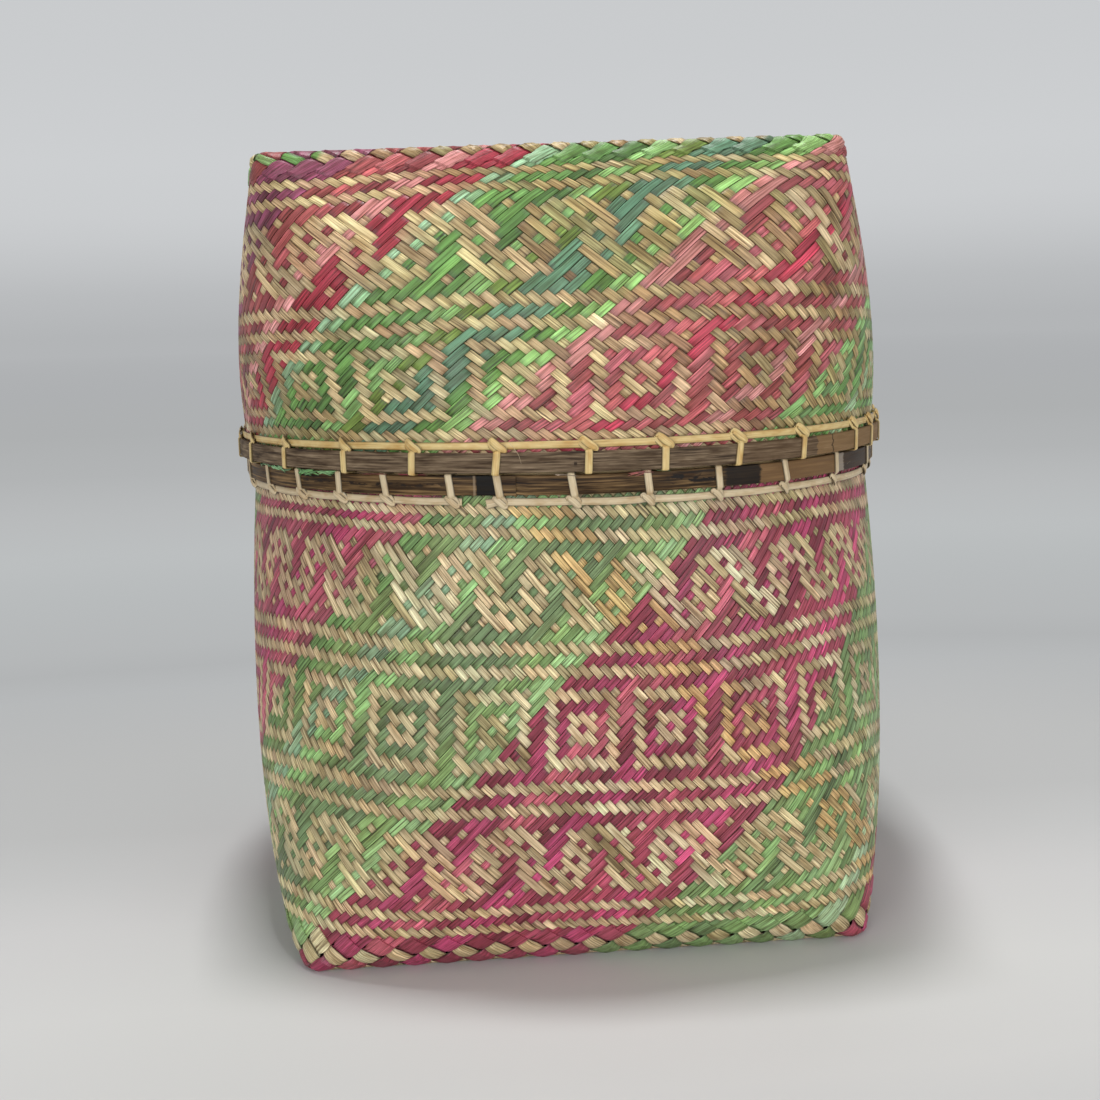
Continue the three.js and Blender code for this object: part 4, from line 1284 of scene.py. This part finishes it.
def setLight():
    for place, size, power in studio["lamps"]:
        data = bpy.data.lights.new("softbox", "AREA")
        data.size = size
        data.energy = power
        lamp = bpy.data.objects.new("softbox", data)
        bpy.context.collection.objects.link(lamp)
        lamp.location = place
        lamp.rotation_euler = (Vector(studio["aim"]) - Vector(place)).to_track_quat("-Z", "Y").to_euler()
    world = bpy.data.worlds.new("studio")
    bpy.context.scene.world = world
    world.use_nodes = True
    nodes, links = world.node_tree.nodes, world.node_tree.links
    sky = nodes["Background"]
    sky.inputs["Color"].default_value = (1, 1, 1, 1)
    sky.inputs["Strength"].default_value = studio["skyStrength"]
    seen = addNode(nodes, "ShaderNodeBackground", Strength=1.0)
    parts = addNode(nodes, "ShaderNodeSeparateXYZ")
    links.new(nodes.new("ShaderNodeTexCoord").outputs["Generated"], parts.inputs[0])
    links.new(addRamp(nodes, links, parts.outputs["Z"], studio["above"]), seen.inputs["Color"])
    # what the camera sees and what shines back is the grey backdrop, and all other light is the plain sky
    ray = nodes.new("ShaderNodeLightPath").outputs
    looks = addMath(nodes, links, "MAXIMUM", ray["Is Camera Ray"], ray["Is Glossy Ray"])
    looks = addMath(nodes, links, "MAXIMUM", looks, ray["Is Transmission Ray"])
    mix = nodes.new("ShaderNodeMixShader")
    links.new(looks, mix.inputs[0])
    links.new(sky.outputs[0], mix.inputs[1])
    links.new(seen.outputs[0], mix.inputs[2])
    links.new(mix.outputs[0], nodes["World Output"].inputs["Surface"])


def setFloor():
    # paper floor that passes into a glowing backdrop away from the box, whose emission stands in for lit
    # paper
    bpy.ops.object.select_all(action="DESELECT")
    bpy.ops.mesh.primitive_plane_add(size=studio["floorSize"], location=(0, 0, -studio["floorDrop"]))
    floor = bpy.context.object
    floor.name = "floor"
    material, nodes, links, shader = newMaterial("paper floor")
    shader.inputs["Roughness"].default_value = 0.8
    shader.inputs["Specular IOR Level"].default_value = 0.1
    where = nodes.new("ShaderNodeTexCoord")
    depth = addNode(nodes, "ShaderNodeSeparateXYZ")
    links.new(where.outputs["Object"], depth.inputs[0])
    half = studio["floorHalf"]
    back = rangeOf(nodes, links, depth.outputs["Y"], -half, half)
    paper = addRamp(nodes, links, back, [(y / (2 * half) + 0.5, tone) for y, tone in studio["floor"]])
    links.new(paper, shader.inputs["Base Color"])
    squeezed = addNode(nodes, "ShaderNodeVectorMath", operation="MULTIPLY")
    links.new(where.outputs["Object"], squeezed.inputs[0])
    squeezed.inputs[1].default_value = (studio["squeeze"], 1, 1)
    away = addNode(nodes, "ShaderNodeVectorMath", operation="LENGTH")
    links.new(squeezed.outputs[0], away.inputs[0])
    share = rangeOf(nodes, links, away.outputs["Value"], studio["nearEdge"], studio["farEdge"])
    reach = studio["backdrop"][-1][0]
    farther = rangeOf(nodes, links, away.outputs["Value"], 0, reach)
    # painted light: the backdrop glows with its listed tones instead of being lit by the lamps
    glow = addNode(nodes, "ShaderNodeEmission", Strength=1.0)
    tones = addRamp(nodes, links, farther, [(far / reach, tone) for far, tone in studio["backdrop"]])
    links.new(tones, glow.inputs["Color"])
    mix = nodes.new("ShaderNodeMixShader")
    links.new(share, mix.inputs[0])
    links.new(shader.outputs[0], mix.inputs[1])
    links.new(glow.outputs[0], mix.inputs[2])
    links.new(mix.outputs[0], nodes["Material Output"].inputs["Surface"])
    floor.data.materials.append(material)


setCamera()
setLight()
setFloor()
bpy.context.scene.view_settings.view_transform = "Standard"
print("box: camera and light set")
